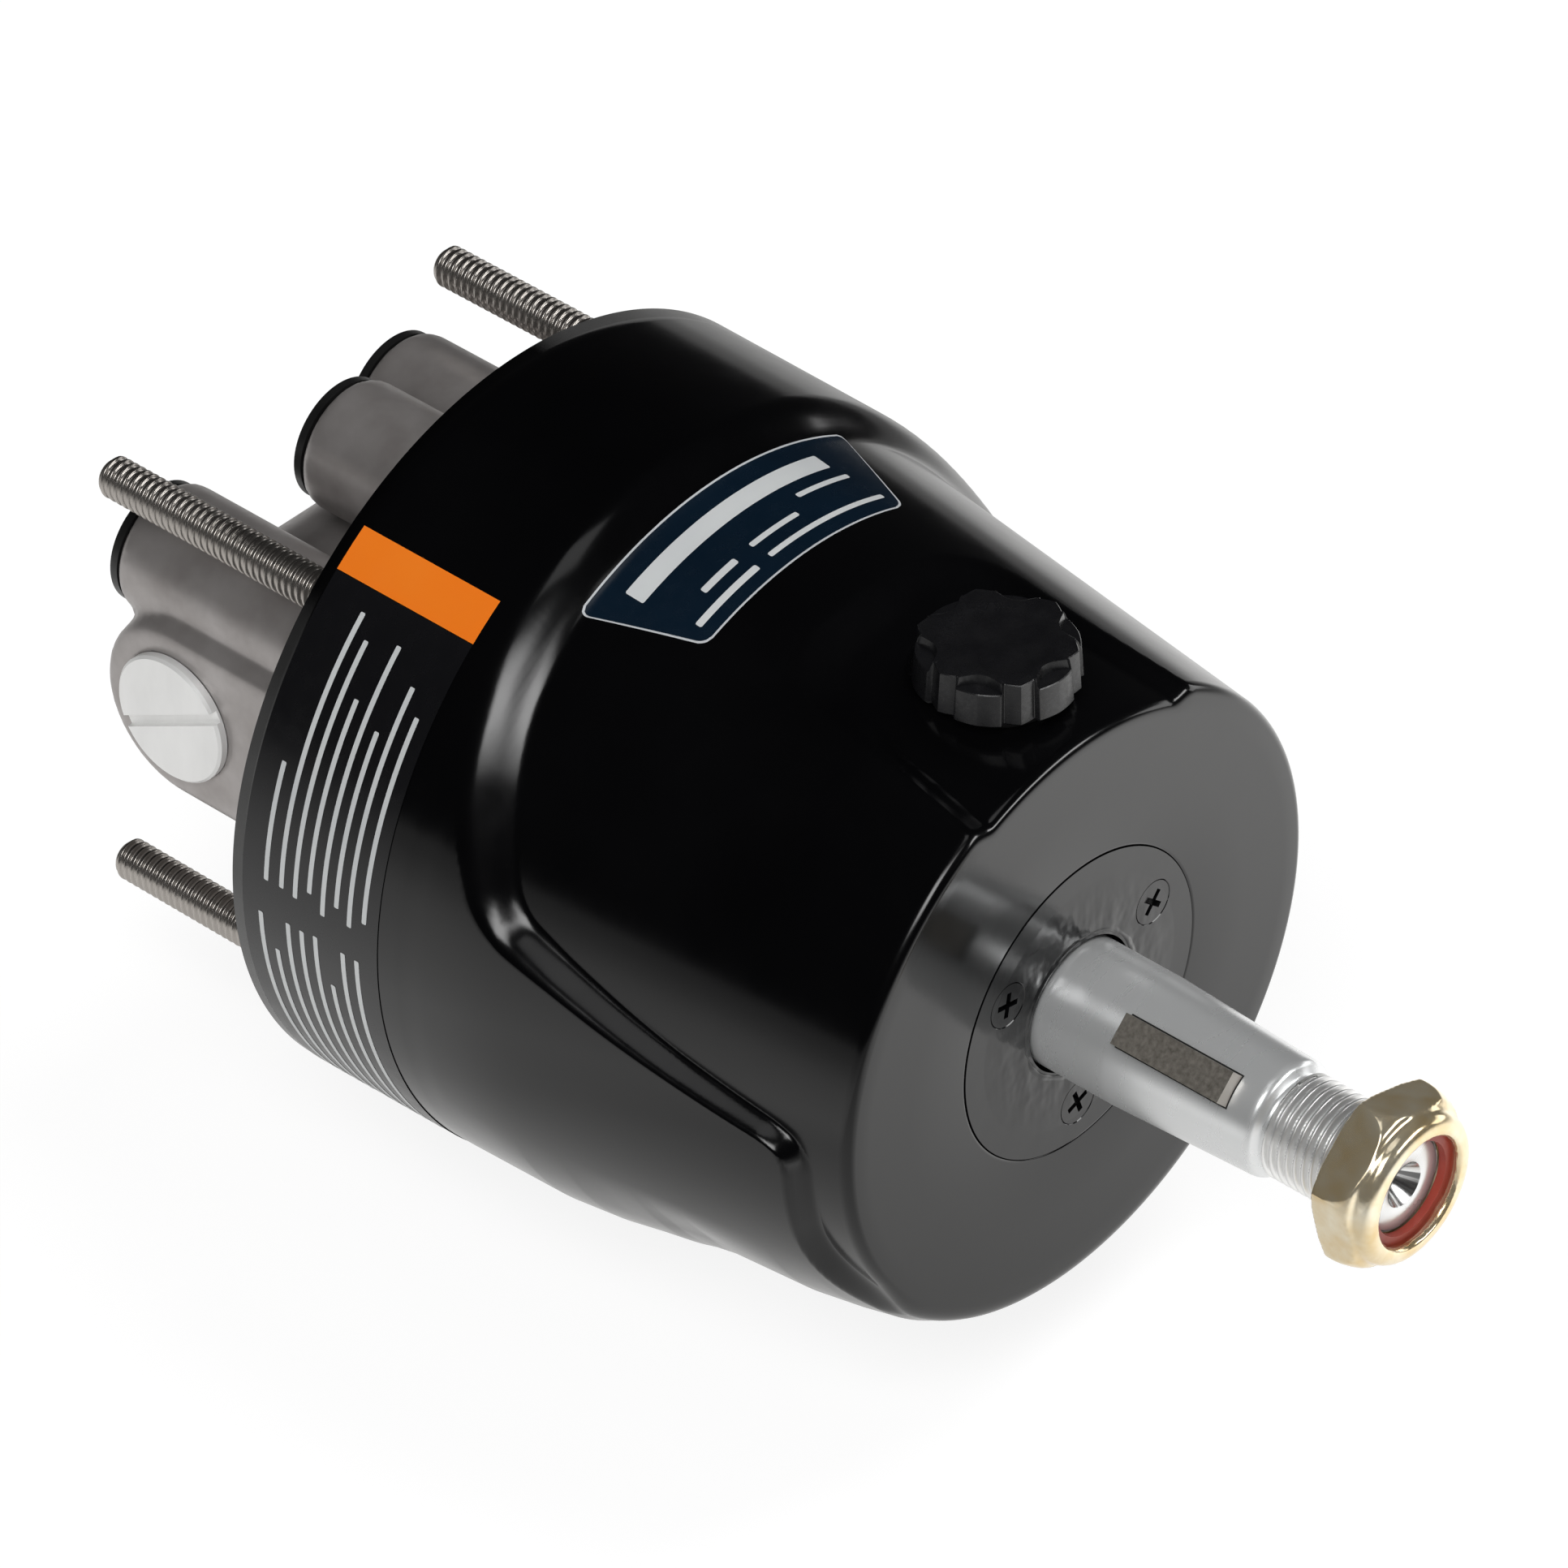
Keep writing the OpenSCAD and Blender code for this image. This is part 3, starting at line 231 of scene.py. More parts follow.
def body_normals(phi, s):
    """Outward normals of the housing surface at a grid of distances and angles."""
    phi, s = np.meshgrid(phi, s)
    turn = np.degrees(NORMAL_STEP / MEAN_R)
    r = housing_r(phi, s)
    around = (housing_r(phi + turn, s) - housing_r(phi - turn, s)) / (2 * np.radians(turn))
    along = (housing_r(phi, s + NORMAL_STEP) - housing_r(phi, s - NORMAL_STEP)) / (2 * NORMAL_STEP)
    a = np.radians(phi)
    across, up = np.cos(a) + around / r * np.sin(a), np.sin(a) - around / r * np.cos(a)
    n = np.stack([across, along, up], axis=-1)
    return n / np.linalg.norm(n, axis=-1, keepdims=True)


def build_housing(material):
    phi = steps_between(SKIN_TURNS)
    body = np.append(steps_between(SKIN_ROWS), NOSE - RIM_H)

    def ring(r, s):
        return on_shaft(phi, r + 0 * phi, s + 0 * phi)

    rows = [ring(REAR_BORE_R, REAR_BORE_DEPTH), ring(REAR_BORE_R, 0)]
    rows += [ring(housing_r(phi, s), s) for s in body]
    shoulder = housing_r(phi, NOSE - RIM_H)
    edge_x = FACE_R * np.cos(np.radians(phi))
    notch = pocket_share(edge_x, NOSE + 0 * phi) * (np.sin(np.radians(phi)) > 0.5)
    face = FACE_R - POCKET_DEPTH * notch
    for a in np.radians([15, 30, 45, 60, 75, 90]):
        rows.append(ring(face + (shoulder - face) * np.cos(a), NOSE - RIM_H + RIM_H * np.sin(a)))
    # The flat face, then the groove round the seal cover
    rows += [ring(43.6, NOSE), ring(35, NOSE), ring(COVER_R + 0.6, NOSE), ring(COVER_R + 0.22, NOSE - 0.05),
             ring(COVER_R + 0.12, NOSE - 0.25), ring(COVER_R + 0.12, NOSE - 4)]
    obj = mesh_object("housing_skin", np.concatenate(rows), grid_faces(len(rows), len(phi), True), material)
    normals = np.zeros(len(obj.data.vertices) * 3)
    obj.data.vertices.foreach_get("normal", normals)
    normals = normals.reshape(-1, 3)
    inner = body[1:-1]
    start = 3 * len(phi)
    normals[start:start + len(inner) * len(phi)] = body_normals(phi, inner).reshape(-1, 3)
    obj.data.normals_split_custom_set_from_vertices(normals.tolist())
    return obj


# Materials: procedural, on Object coordinates

SURFACE_IOR = 1.5


def new_material(name):
    mat = bpy.data.materials.new(name)
    mat.use_nodes = True
    tree = mat.node_tree
    shader = tree.nodes["Principled BSDF"]
    return mat, tree, shader


def joined(tree, operation, a, b):
    node = tree.nodes.new("ShaderNodeMath")
    node.operation = operation
    tree.links.new(a, node.inputs[0])
    if isinstance(b, bpy.types.NodeSocket):
        tree.links.new(b, node.inputs[1])
    else:
        node.inputs[1].default_value = b
    return node.outputs[0]


def coords(tree, scale=(1, 1, 1), turn=(0, 0, 0), shift=(0, 0, 0)):
    where = tree.nodes.new("ShaderNodeTexCoord")
    mapping = tree.nodes.new("ShaderNodeMapping")
    mapping.inputs["Scale"].default_value = scale
    mapping.inputs["Rotation"].default_value = turn
    mapping.inputs["Location"].default_value = shift
    tree.links.new(where.outputs["Object"], mapping.inputs["Vector"])
    return mapping.outputs["Vector"]


def parts_of(tree, vector):
    node = tree.nodes.new("ShaderNodeSeparateXYZ")
    tree.links.new(vector, node.inputs[0])
    return node.outputs


def length_of(tree, vector):
    node = tree.nodes.new("ShaderNodeVectorMath")
    node.operation = "LENGTH"
    tree.links.new(vector, node.inputs[0])
    return node.outputs["Value"]


def noise(tree, vector, scale, detail=4.0, rough=0.55):
    node = tree.nodes.new("ShaderNodeTexNoise")
    node.inputs["Scale"].default_value = scale
    node.inputs["Detail"].default_value = detail
    node.inputs["Roughness"].default_value = rough
    tree.links.new(vector, node.inputs["Vector"])
    return node.outputs["Fac"]


def spread(tree, value, low, high, start=0.3, end=0.7):
    """A value between start and end, carried over to the range from low to high."""
    node = tree.nodes.new("ShaderNodeMapRange")
    node.inputs["From Min"].default_value = start
    node.inputs["From Max"].default_value = end
    node.inputs["To Min"].default_value = low
    node.inputs["To Max"].default_value = high
    tree.links.new(value, node.inputs["Value"])
    return node.outputs["Result"]


def tint(tree, value, stops):
    node = tree.nodes.new("ShaderNodeValToRGB")
    ramp = node.color_ramp
    while len(ramp.elements) < len(stops):
        ramp.elements.new(0.5)
    for element, (pos, colour) in zip(ramp.elements, stops):
        element.position = pos
        element.color = (*colour, 1)
    tree.links.new(value, node.inputs["Fac"])
    return node.outputs["Color"]


def bump(tree, shader, height, strength, distance):
    node = tree.nodes.new("ShaderNodeBump")
    node.inputs["Strength"].default_value = strength
    node.inputs["Distance"].default_value = distance
    tree.links.new(height, node.inputs["Height"])
    tree.links.new(node.outputs["Normal"], shader.inputs["Normal"])


def finish(name, colours, rough, metal=0.0, grain=300.0, stretch=(1, 1, 1), relief=0.0, depth=0.0002):
    """A surface whose tone, gloss and fine relief vary with noise in the object's own frame."""
    mat, tree, shader = new_material(name)
    vector = coords(tree, stretch)
    broad = noise(tree, vector, grain * 0.15, 3)
    fine = noise(tree, vector, grain, 5)
    tone = tint(tree, broad, [(0.25, colours[0]), (0.75, colours[1])])
    tree.links.new(tone, shader.inputs["Base Color"])
    tree.links.new(spread(tree, fine, *rough), shader.inputs["Roughness"])
    shader.inputs["Metallic"].default_value = metal
    shader.inputs["IOR"].default_value = SURFACE_IOR
    if relief:
        bump(tree, shader, fine, relief, depth)
    return mat


def centre_cone():
    """Bright bored steel with dark and bright streaks painted round the axis as a painted reflection."""
    mat, tree, shader = new_material("bored_centre")
    place = parts_of(tree, coords(tree))
    turn = joined(tree, "ARCTAN2", place["Z"], place["X"])
    # Painted reflection: noise round the axis paints dark and bright streaks into the colour, standing in for
    # the surround mirrored in the cone
    painted_reflection_streaks = tree.nodes.new("ShaderNodeTexNoise")
    painted_reflection_streaks.noise_dimensions = "1D"
    painted_reflection_streaks.inputs["Scale"].default_value = 2.6
    painted_reflection_streaks.inputs["Detail"].default_value = 3.0
    tree.links.new(turn, painted_reflection_streaks.inputs["W"])
    tone = tint(tree, painted_reflection_streaks.outputs["Fac"], [(0.4, (0.16, 0.16, 0.16)), (0.6, (0.85, 0.85, 0.84))])
    tree.links.new(tone, shader.inputs["Base Color"])
    shader.inputs["Metallic"].default_value = 0.9
    shader.inputs["Roughness"].default_value = 0.22
    return mat


def thread_finish(name, crest, root, rough, metal):
    """Threaded metal with painted light: the crests are painted bright as a painted highlight and the grooves
    dark as painted shade, from the rods' own groove attribute.
    """
    mat, tree, shader = new_material(name)
    groove = tree.nodes.new("ShaderNodeAttribute")
    groove.attribute_name = "groove"
    # Painted light: the crest colour is a painted highlight, the root colour painted shade in the grooves
    tone = tint(tree, groove.outputs["Fac"], [(0.02, crest), (0.22, root), (1.0, root)])
    tree.links.new(tone, shader.inputs["Base Color"])
    tree.links.new(spread(tree, noise(tree, coords(tree), 150, 2), *rough), shader.inputs["Roughness"])
    shader.inputs["Metallic"].default_value = metal
    return mat


def key_finish():
    """Dark key steel; faces turned towards the front get a paler colour, partly a ground end and partly a
    painted highlight.
    """
    mat, tree, shader = new_material("key_steel_dark")
    fine = noise(tree, coords(tree), 1400, 5)
    dark = tint(tree, fine, [(0.3, (0.14, 0.128, 0.11)), (0.7, (0.26, 0.242, 0.212))])
    # Painted highlight: the colour turns pale where the surface faces -Y, standing in for the bright floor it
    # mirrors as well as the ground steel of the end
    facing = parts_of(tree, tree.nodes.new("ShaderNodeNewGeometry").outputs["Normal"])
    mix = tree.nodes.new("ShaderNodeMix")
    mix.data_type = "RGBA"
    tree.links.new(spread(tree, facing["Y"], 1, 0, -0.9, -0.6), mix.inputs["Factor"])
    tree.links.new(dark, mix.inputs["A"])
    mix.inputs["B"].default_value = (0.66, 0.62, 0.57, 1)
    tree.links.new(mix.outputs["Result"], shader.inputs["Base Color"])
    shader.inputs["Metallic"].default_value = 0.4
    tree.links.new(spread(tree, fine, 0.36, 0.52), shader.inputs["Roughness"])
    bump(tree, shader, fine, 0.2, 0.0001)
    return mat


def smeared_cover():
    """Cover paint that is even at the rim and wavy close to the shaft, where sealant was wiped."""
    mat, tree, shader = new_material("cover_paint")
    fine = noise(tree, coords(tree), 220, 5)
    tone = tint(tree, fine, [(0.25, (0.003, 0.003, 0.0035)), (0.75, (0.006, 0.006, 0.0065))])
    tree.links.new(tone, shader.inputs["Base Color"])
    tree.links.new(spread(tree, fine, 0.09, 0.17), shader.inputs["Roughness"])
    from_axis = length_of(tree, coords(tree, scale=(1, 0, 1)))
    near = spread(tree, from_axis, 1, 0.05, 0.0115, 0.02)
    waves = noise(tree, coords(tree, scale=(1, 1, 0.7)), 210, 2)
    bump(tree, shader, joined(tree, "MULTIPLY", waves, near), 0.6, 0.0012)
    return mat


# Painted, cast and turned surfaces
paint = finish("black_paint_gloss", ((0.0015, 0.0015, 0.0018), (0.003, 0.003, 0.0034)), (0.13, 0.18),
               grain=160, relief=0.03, depth=0.0004)
cover_paint = smeared_cover()
screw_black = finish("black_oxide", ((0.012, 0.012, 0.013), (0.03, 0.03, 0.032)), (0.25, 0.4),
                     metal=0.6, grain=900, relief=0.1)
cast = finish("cast_grey", ((0.34, 0.315, 0.305), (0.46, 0.435, 0.427)), (0.28, 0.4),
              metal=0.58, grain=900, relief=0.06)
plug_metal = finish("turned_plug", ((0.9, 0.9, 0.89), (0.98, 0.98, 0.97)), (0.28, 0.4),
                    metal=0.25, grain=500, stretch=(0.1, 3, 1), relief=0.08)
shaft_metal = finish("ground_shaft", ((0.84, 0.855, 0.86), (0.87, 0.88, 0.88)), (0.26, 0.29),
                     metal=0.62, grain=170, stretch=(0.4, 1.4, 0.4), relief=0.02, depth=0.0001)
bored_centre = centre_cone()
key_metal = key_finish()
stainless = thread_finish("stainless_thread", (0.46, 0.43, 0.4), (0.042, 0.037, 0.033), (0.24, 0.28), 0.9)
thread_metal = thread_finish("cut_thread", (0.92, 0.92, 0.91), (0.5, 0.5, 0.5), (0.28, 0.33), 0.74)
gold = finish("yellow_zinc", ((0.76, 0.56, 0.27), (0.95, 0.89, 0.72)), (0.1, 0.2),
              metal=0.74, grain=1100, relief=0.04, depth=0.0001)
bronze = finish("bearing_bronze", ((0.4, 0.26, 0.12), (0.55, 0.38, 0.2)), (0.3, 0.4), metal=1.0, grain=500)
inner_steel = finish("inner_steel", ((0.45, 0.46, 0.47), (0.58, 0.59, 0.6)), (0.25, 0.4),
                     metal=1.0, grain=500)

# Plastic and rubber
red = finish("red_nylon", ((0.32, 0.035, 0.022), (0.42, 0.06, 0.035)), (0.35, 0.5), grain=800, relief=0.05)
cap_black = finish("cap_plastic", ((0.006, 0.006, 0.007), (0.011, 0.011, 0.012)), (0.22, 0.36),
                   grain=1500, relief=0.15, depth=0.0001)
plug_black = finish("port_plastic", ((0.008, 0.008, 0.008), (0.014, 0.014, 0.014)), (0.3, 0.45),
                    grain=900, relief=0.1)
rubber = finish("rubber_black", ((0.008, 0.008, 0.008), (0.014, 0.014, 0.014)), (0.5, 0.65),
                grain=900, relief=0.1)

# Printed films
film_black = finish("label_black", ((0.006, 0.006, 0.007), (0.008, 0.008, 0.009)), (0.22, 0.3), grain=400)
film_navy = finish("label_navy", ((0.003, 0.009, 0.018), (0.004, 0.012, 0.024)), (0.2, 0.3), grain=400)
film_orange = finish("label_orange", ((1.0, 0.215, 0.013), (1.0, 0.24, 0.018)), (0.3, 0.4), grain=400)
film_white = finish("label_white", ((0.6, 0.62, 0.63), (0.68, 0.7, 0.7)), (0.3, 0.4), grain=400)
film_pale = finish("label_pale", ((0.5, 0.52, 0.54), (0.6, 0.62, 0.64)), (0.35, 0.45), grain=400)

NODE_LOOKS = {
    "seal_cover": cover_paint, "seal_cover_screws": cover_paint, "valve_body": cast,
    "check_plugs": plug_metal, "shaft_key": key_metal, "shaft_nut": gold, "nut_insert": red,
    "filler_cap": cap_black,
    "port_plugs": plug_black, "valve_body_screws": screw_black, "rear_bush": bronze, "valve_plate": bronze,
    "bearing_cage": bronze, "thrust_cage": bronze}
for name, obj in nodes.items():
    look = NODE_LOOKS.get(name) or (rubber if "oring" in name or "seal" in name else inner_steel)
    obj.data.materials.clear()
    obj.data.materials.append(look)

skin = build_housing(paint)
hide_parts("pump_housing")
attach(skin, "housing")


# Geometry Nodes: a threaded rod, one or several on a circle

def node_tree(name, inputs):
    tree = bpy.data.node_groups.new(name, "GeometryNodeTree")
    for label, kind, value in inputs:
        socket = tree.interface.new_socket(label, in_out="INPUT", socket_type=kind)
        if value is not None:
            socket.default_value = value
    tree.interface.new_socket("Geometry", in_out="OUTPUT", socket_type="NodeSocketGeometry")
    return tree


class Wires:
    """Short calls that add nodes to a Geometry Nodes tree and join them."""

    def __init__(self, tree):
        self.tree = tree
        self.given = tree.nodes.new("NodeGroupInput").outputs

    def put(self, socket, value):
        if isinstance(value, bpy.types.NodeSocket):
            self.tree.links.new(value, socket)
        else:
            socket.default_value = value

    def node(self, kind, inputs=None, **settings):
        node = self.tree.nodes.new(kind)
        for key, value in settings.items():
            setattr(node, key, value)
        for key, value in (inputs or {}).items():
            self.put(node.inputs[key], value)
        return node

    def math(self, operation, a, b=0.0):
        return self.node("ShaderNodeMath", {0: a, 1: b}, operation=operation).outputs[0]

    def vector(self, **parts):
        return self.node("ShaderNodeCombineXYZ", parts).outputs[0]


# Shares of the pitch where a flank begins and ends
FLANK_START, FLANK_END = 0.07, 0.43


def threaded_rod_tree():
    real, whole_number = "NodeSocketFloat", "NodeSocketInt"
    tree = node_tree("Threaded rods", [
        ("Length", real, 0.047), ("Pitch", real, 0.00127), ("Crest radius", real, 0.0032),
        ("Root radius", real, 0.0026), ("End rounding", real, 0.001), ("Sides", whole_number, 24),
        ("Rows", whole_number, 260), ("Rows per turn", whole_number, 8), ("Rods", whole_number, 1),
        ("Circle radius", real, 0.0), ("First angle", real, 0.0), ("Closed tip", "NodeSocketBool", True),
        ("Material", "NodeSocketMaterial", None)])
    w = Wires(tree)
    g = w.given

    # A flat grid rolled up along the helix: X becomes the angle, Y the turns
    grid = w.node("GeometryNodeMeshGrid", {"Size X": 1.0, "Size Y": 1.0, "Vertices Y": g["Rows"],
                                           "Vertices X": w.math("ADD", g["Sides"], 1.0)})
    split = w.node("ShaderNodeSeparateXYZ", {0: w.node("GeometryNodeInputPosition").outputs[0]})
    turn = w.math("ADD", split.outputs["X"], 0.5)
    row = w.math("MULTIPLY", w.math("ADD", split.outputs["Y"], 0.5), w.math("SUBTRACT", g["Rows"], 1.0))
    turns = w.math("DIVIDE", row, g["Rows per turn"])
    climb = w.math("MULTIPLY", w.math("SUBTRACT", w.math("ADD", turns, turn), 1.0), g["Pitch"])
    along = w.math("MINIMUM", w.math("MAXIMUM", climb, 0.0), g["Length"])

    # Radius: flanks between root and crest, rounded off at the tip
    wave = w.math("PINGPONG", turns, 0.5)
    flank = {"Value": wave, "From Min": FLANK_START, "From Max": FLANK_END}
    height = w.node("ShaderNodeMapRange", {**flank, "To Min": g["Root radius"], "To Max": g["Crest radius"]},
                    interpolation_type="SMOOTHSTEP")
    tip_radius = w.math("SUBTRACT", g["Crest radius"], g["End rounding"])
    limit = w.math("ADD", tip_radius, w.math("SUBTRACT", g["Length"], along))
    r = w.math("MINIMUM", height.outputs["Result"], limit)
    angle = w.math("MULTIPLY", turn, 2 * math.pi)
    place = w.vector(X=w.math("MULTIPLY", r, w.math("COSINE", angle)),
                     Y=w.math("MULTIPLY", r, w.math("SINE", angle)), Z=along)
    rod = w.node("GeometryNodeSetPosition", {"Geometry": grid.outputs["Mesh"], "Position": place})
    # Depth into the groove, stored for the thread finishes, which paint shade into the roots and a highlight
    # onto the crests
    depth = w.node("ShaderNodeMapRange", {**flank, "To Min": 1.0, "To Max": 0.0})
    marked = w.node("GeometryNodeStoreNamedAttribute",
                    {"Geometry": rod.outputs[0], "Name": "groove", "Value": depth.outputs["Result"]},
                    data_type="FLOAT", domain="POINT")
    closed = w.node("GeometryNodeMergeByDistance", {"Geometry": marked.outputs[0], "Distance": 1e-6})

    # Flat tip
    tip = w.node("GeometryNodeMeshCircle", {"Vertices": g["Sides"], "Radius": tip_radius}, fill_type="NGON")
    cap = w.node("GeometryNodeTransform",
                 {"Geometry": tip.outputs[0], "Translation": w.vector(Z=g["Length"])})
    tip_end = w.node("GeometryNodeSwitch", {"Switch": g["Closed tip"], "True": cap.outputs[0]},
                     input_type="GEOMETRY")
    whole = w.node("GeometryNodeJoinGeometry")
    tree.links.new(closed.outputs[0], whole.inputs[0])
    tree.links.new(tip_end.outputs[0], whole.inputs[0])

    # Copies on a circle
    ring = w.node("GeometryNodeMeshCircle",
                  {"Vertices": w.math("MAXIMUM", g["Rods"], 3.0), "Radius": g["Circle radius"]})
    spots = w.node("GeometryNodeTransform",
                   {"Geometry": ring.outputs[0], "Rotation": w.vector(Z=g["First angle"])})
    keep = w.node("FunctionNodeCompare", data_type="INT", operation="LESS_THAN",
                  inputs={"A": w.node("GeometryNodeInputIndex").outputs[0], "B": g["Rods"]})
    many = w.node("GeometryNodeInstanceOnPoints", {"Points": spots.outputs[0], "Selection": keep.outputs[0],
                                                   "Instance": whole.outputs[0]})
    solid = w.node("GeometryNodeRealizeInstances", {"Geometry": many.outputs[0]})
    soft = w.node("GeometryNodeSetShadeSmooth", {"Geometry": solid.outputs[0]})
    dressed = w.node("GeometryNodeSetMaterial", {"Geometry": soft.outputs[0], "Material": g["Material"]})
    out = tree.nodes.new("NodeGroupOutput")
    tree.links.new(dressed.outputs[0], out.inputs[0])
    return tree


def grown(name, tree, matrix, **values):
    """A mesh object from a Geometry Nodes tree, with its place in its vertices."""
    seed = bpy.data.objects.new(name + "_seed", bpy.data.meshes.new(name + "_seed"))
    bpy.context.scene.collection.objects.link(seed)
    modifier = seed.modifiers.new("nodes", "NODES")
    modifier.node_group = tree
    for item in tree.interface.items_tree:
        if item.in_out == "INPUT" and item.name.replace(" ", "_") in values:
            modifier[item.identifier] = values[item.name.replace(" ", "_")]
    mesh = bpy.data.meshes.new_from_object(seed.evaluated_get(bpy.context.evaluated_depsgraph_get()))
    bpy.data.objects.remove(seed)
    mesh.transform(matrix)
    mesh.name = name
    return link(mesh, name, None)


rods = threaded_rod_tree()
to_rear = Matrix.Rotation(math.radians(-90), 4, "X")
to_front = Matrix.Rotation(math.radians(90), 4, "X")

# Mounting studs

STUD_TURN_ROWS = 8
studs = grown("stud_threads", rods, to_rear, Length=STUD_REACH * MM, Pitch=STUD_PITCH * MM,
              Crest_radius=STUD_R * MM, Root_radius=STUD_ROOT * MM, End_rounding=0.9 * MM, Sides=40,
              Rows=STUD_TURN_ROWS * (int(STUD_REACH / STUD_PITCH) + 2) + 1, Rows_per_turn=STUD_TURN_ROWS,
              Rods=4, Circle_radius=STUD_PCR * MM, First_angle=math.radians(45), Closed_tip=True,
              Material=stainless)
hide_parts("mounting_studs")
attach(studs, "housing")

# Shaft: the CAD's turned form with a thread root, the thread on it and the bored centre in its end

TAPER_S, TAPER_R = (117.3, 141.0), (9.95, 8.97)
THREAD_R, THREAD_ROOT, THREAD_PITCH = 7.94, 7.08, 1.411
THREAD_S, THREAD_TURNS, THREAD_TURN_ROWS = 144.0, 15, 12
CENTRE_DEPTH, CENTRE_R = 5.1, 0.46
SHAFT_PROFILE = [
    (0, 5), (6.6, 5), (7, 5.4), (7, 20.5), (9, 21), (9, 80), (12, 80), (12, 84.5), (9.97, 84.5),
    (9.97, NOSE - 4), (9.97, 117), (TAPER_R[0], TAPER_S[0]), (TAPER_R[1], TAPER_S[1]), (8.9, 141.6),
    (8.7, 142.1), (8.3, 142.5), (7.5, 142.9), (7.2, 143.3), (THREAD_ROOT, 143.9),
    (THREAD_ROOT, SHAFT_END - 0.4), (THREAD_ROOT - 0.3, SHAFT_END), (3.5, SHAFT_END), (3.3, SHAFT_END - 0.12),
    (CENTRE_R, SHAFT_END - CENTRE_DEPTH), (0, SHAFT_END - CENTRE_DEPTH)]
CENTRE_PROFILE = [(3.42, SHAFT_END + 0.02), (3.3, SHAFT_END - 0.08),
                  (CENTRE_R, SHAFT_END - CENTRE_DEPTH + 0.05), (0, SHAFT_END - CENTRE_DEPTH + 0.05)]

shaft = turned("shaft_turned", SHAFT_PROFILE, shaft_metal)
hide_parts("steering_shaft")
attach(shaft, "shaft")
thread = grown("shaft_thread", rods, Matrix.Translation((0, -THREAD_S * MM, 0)) @ to_front,
               Length=(SHAFT_END - THREAD_S - 0.2) * MM, Pitch=THREAD_PITCH * MM, Crest_radius=THREAD_R * MM,
               Root_radius=THREAD_ROOT * MM, End_rounding=0.8 * MM, Sides=72,
               Rows=THREAD_TURN_ROWS * THREAD_TURNS + 1, Rows_per_turn=THREAD_TURN_ROWS, Rods=1,
               Circle_radius=0.0, First_angle=0.0, Closed_tip=False, Material=thread_metal)
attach(thread, "shaft")
hole = turned("centre_hole", CENTRE_PROFILE, bored_centre)
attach(hole, "shaft")

# Painted shade: a dark strip laid on the shaft round the key, standing in for the shade in the gap between
# the key and the sides of its keyway

KEY_W, KEY_GAP, KEY_GAP_LIFT = 4.7625, 0.22, 0.02
KEY_ROWS, KEY_COLS = 12, 9


def key_gap(material):
    low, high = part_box("shaft_key")
    s = np.linspace(-high.y / MM - KEY_GAP, -low.y / MM + KEY_GAP, KEY_ROWS)
    middle = math.degrees(math.atan2((low.z + high.z) / 2, (low.x + high.x) / 2))
    r = np.interp(s, TAPER_S, TAPER_R)
    half = np.degrees(np.arcsin((KEY_W / 2 + KEY_GAP) / r))
    turn = np.linspace(-1, 1, KEY_COLS)[None, :] * half[:, None]
    verts = on_shaft(middle + turn, (r + KEY_GAP_LIFT)[:, None] + 0 * turn, s[:, None] + 0 * turn)
    return mesh_object("key_gap", verts.reshape(-1, 3), grid_faces(KEY_ROWS, KEY_COLS, False), material)


gap_shade = key_gap(rubber)
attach(gap_shade, "shaft")

# Paint gathered round the shaft's hole in the cover: an uneven ring

BEAD_R, BEAD_HALF, BEAD_H, BEAD_SINK = 11.25, 0.55, 0.3, 0.03
# Section of the ring: (share of the half width, share of the height)
BEAD_SECTION = [(-1, 0), (-0.8, 0.6), (-0.4, 0.93), (0, 1), (0.5, 0.8), (1.0, 0.35), (1.8, 0.05),
                (2.2, -0.05)]
# Waves round the ring: (height, how many, where they start in degrees)
BEAD_WAVES = [(0.22, 3, 60), (0.14, 7, 40), (0.08, 16, 0)]


def paint_bead(material):
    phi = np.arange(0, 360, 1.5)
    lump = 0.6 + sum(tall * np.sin(np.radians(count * phi + first)) for tall, count, first in BEAD_WAVES)
    rows = [on_shaft(phi, BEAD_R + BEAD_HALF * lump * c, NOSE - BEAD_SINK + BEAD_H * lump * h)
            for c, h in BEAD_SECTION]
    return mesh_object("paint_bead", np.concatenate(rows), grid_faces(len(rows), len(phi), True), material)


bead = paint_bead(cover_paint)
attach(bead, "housing")


# Valve body and nut: the CAD's solids with their edges and inner corners softened

def softened(name, node, voxel, rounds, material):
    mesh = nodes[node].data.copy()
    mesh.transform(nodes[node].matrix_world)
    obj = link(mesh, name + "_seed", material)
    merge = obj.modifiers.new("merge", "WELD")
    merge.merge_threshold = 1e-6
    grid = obj.modifiers.new("grid", "REMESH")
    grid.mode = "VOXEL"
    grid.voxel_size = voxel * MM
    grid.use_smooth_shade = True
    ease = obj.modifiers.new("ease", "SMOOTH")
    ease.factor = 0.5
    ease.iterations = rounds
    done = bpy.data.meshes.new_from_object(obj.evaluated_get(bpy.context.evaluated_depsgraph_get()))
    bpy.data.objects.remove(obj)
    done.name = name
    return link(done, name, material)


casting = softened("valve_casting", "valve_body", 0.85, 5, cast)
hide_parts("valve_body")
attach(casting, "housing")

nut = softened("nut_skin", "shaft_nut", 0.28, 5, gold)
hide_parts("shaft_nut")
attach(nut, "shaft")

# Filler cap: pads with a shelf cut in the top edge, a notch on each side of a pad, a rib between the notches

CAP_H, CAP_DRAFT, CAP_PADS, PAD_TURN = 6.8, 0.4, 6, 27.0
STEM_R, STEM_LEN = 6.3, 8.0
PAD_R, NOTCH_R, RIB_R = 11.85, 10.9, 11.7
PAD_HALF, NOTCH_TURN = 16.4, 18.6
SHELF_DEPTH, SHELF_IN, SHELF_HALF = 1.35, 2.3, 18.0
DISH_R, DISH_DEPTH, DISH_BLEND = 8.2, 0.45, 2.2
CAP_CREASE = 24


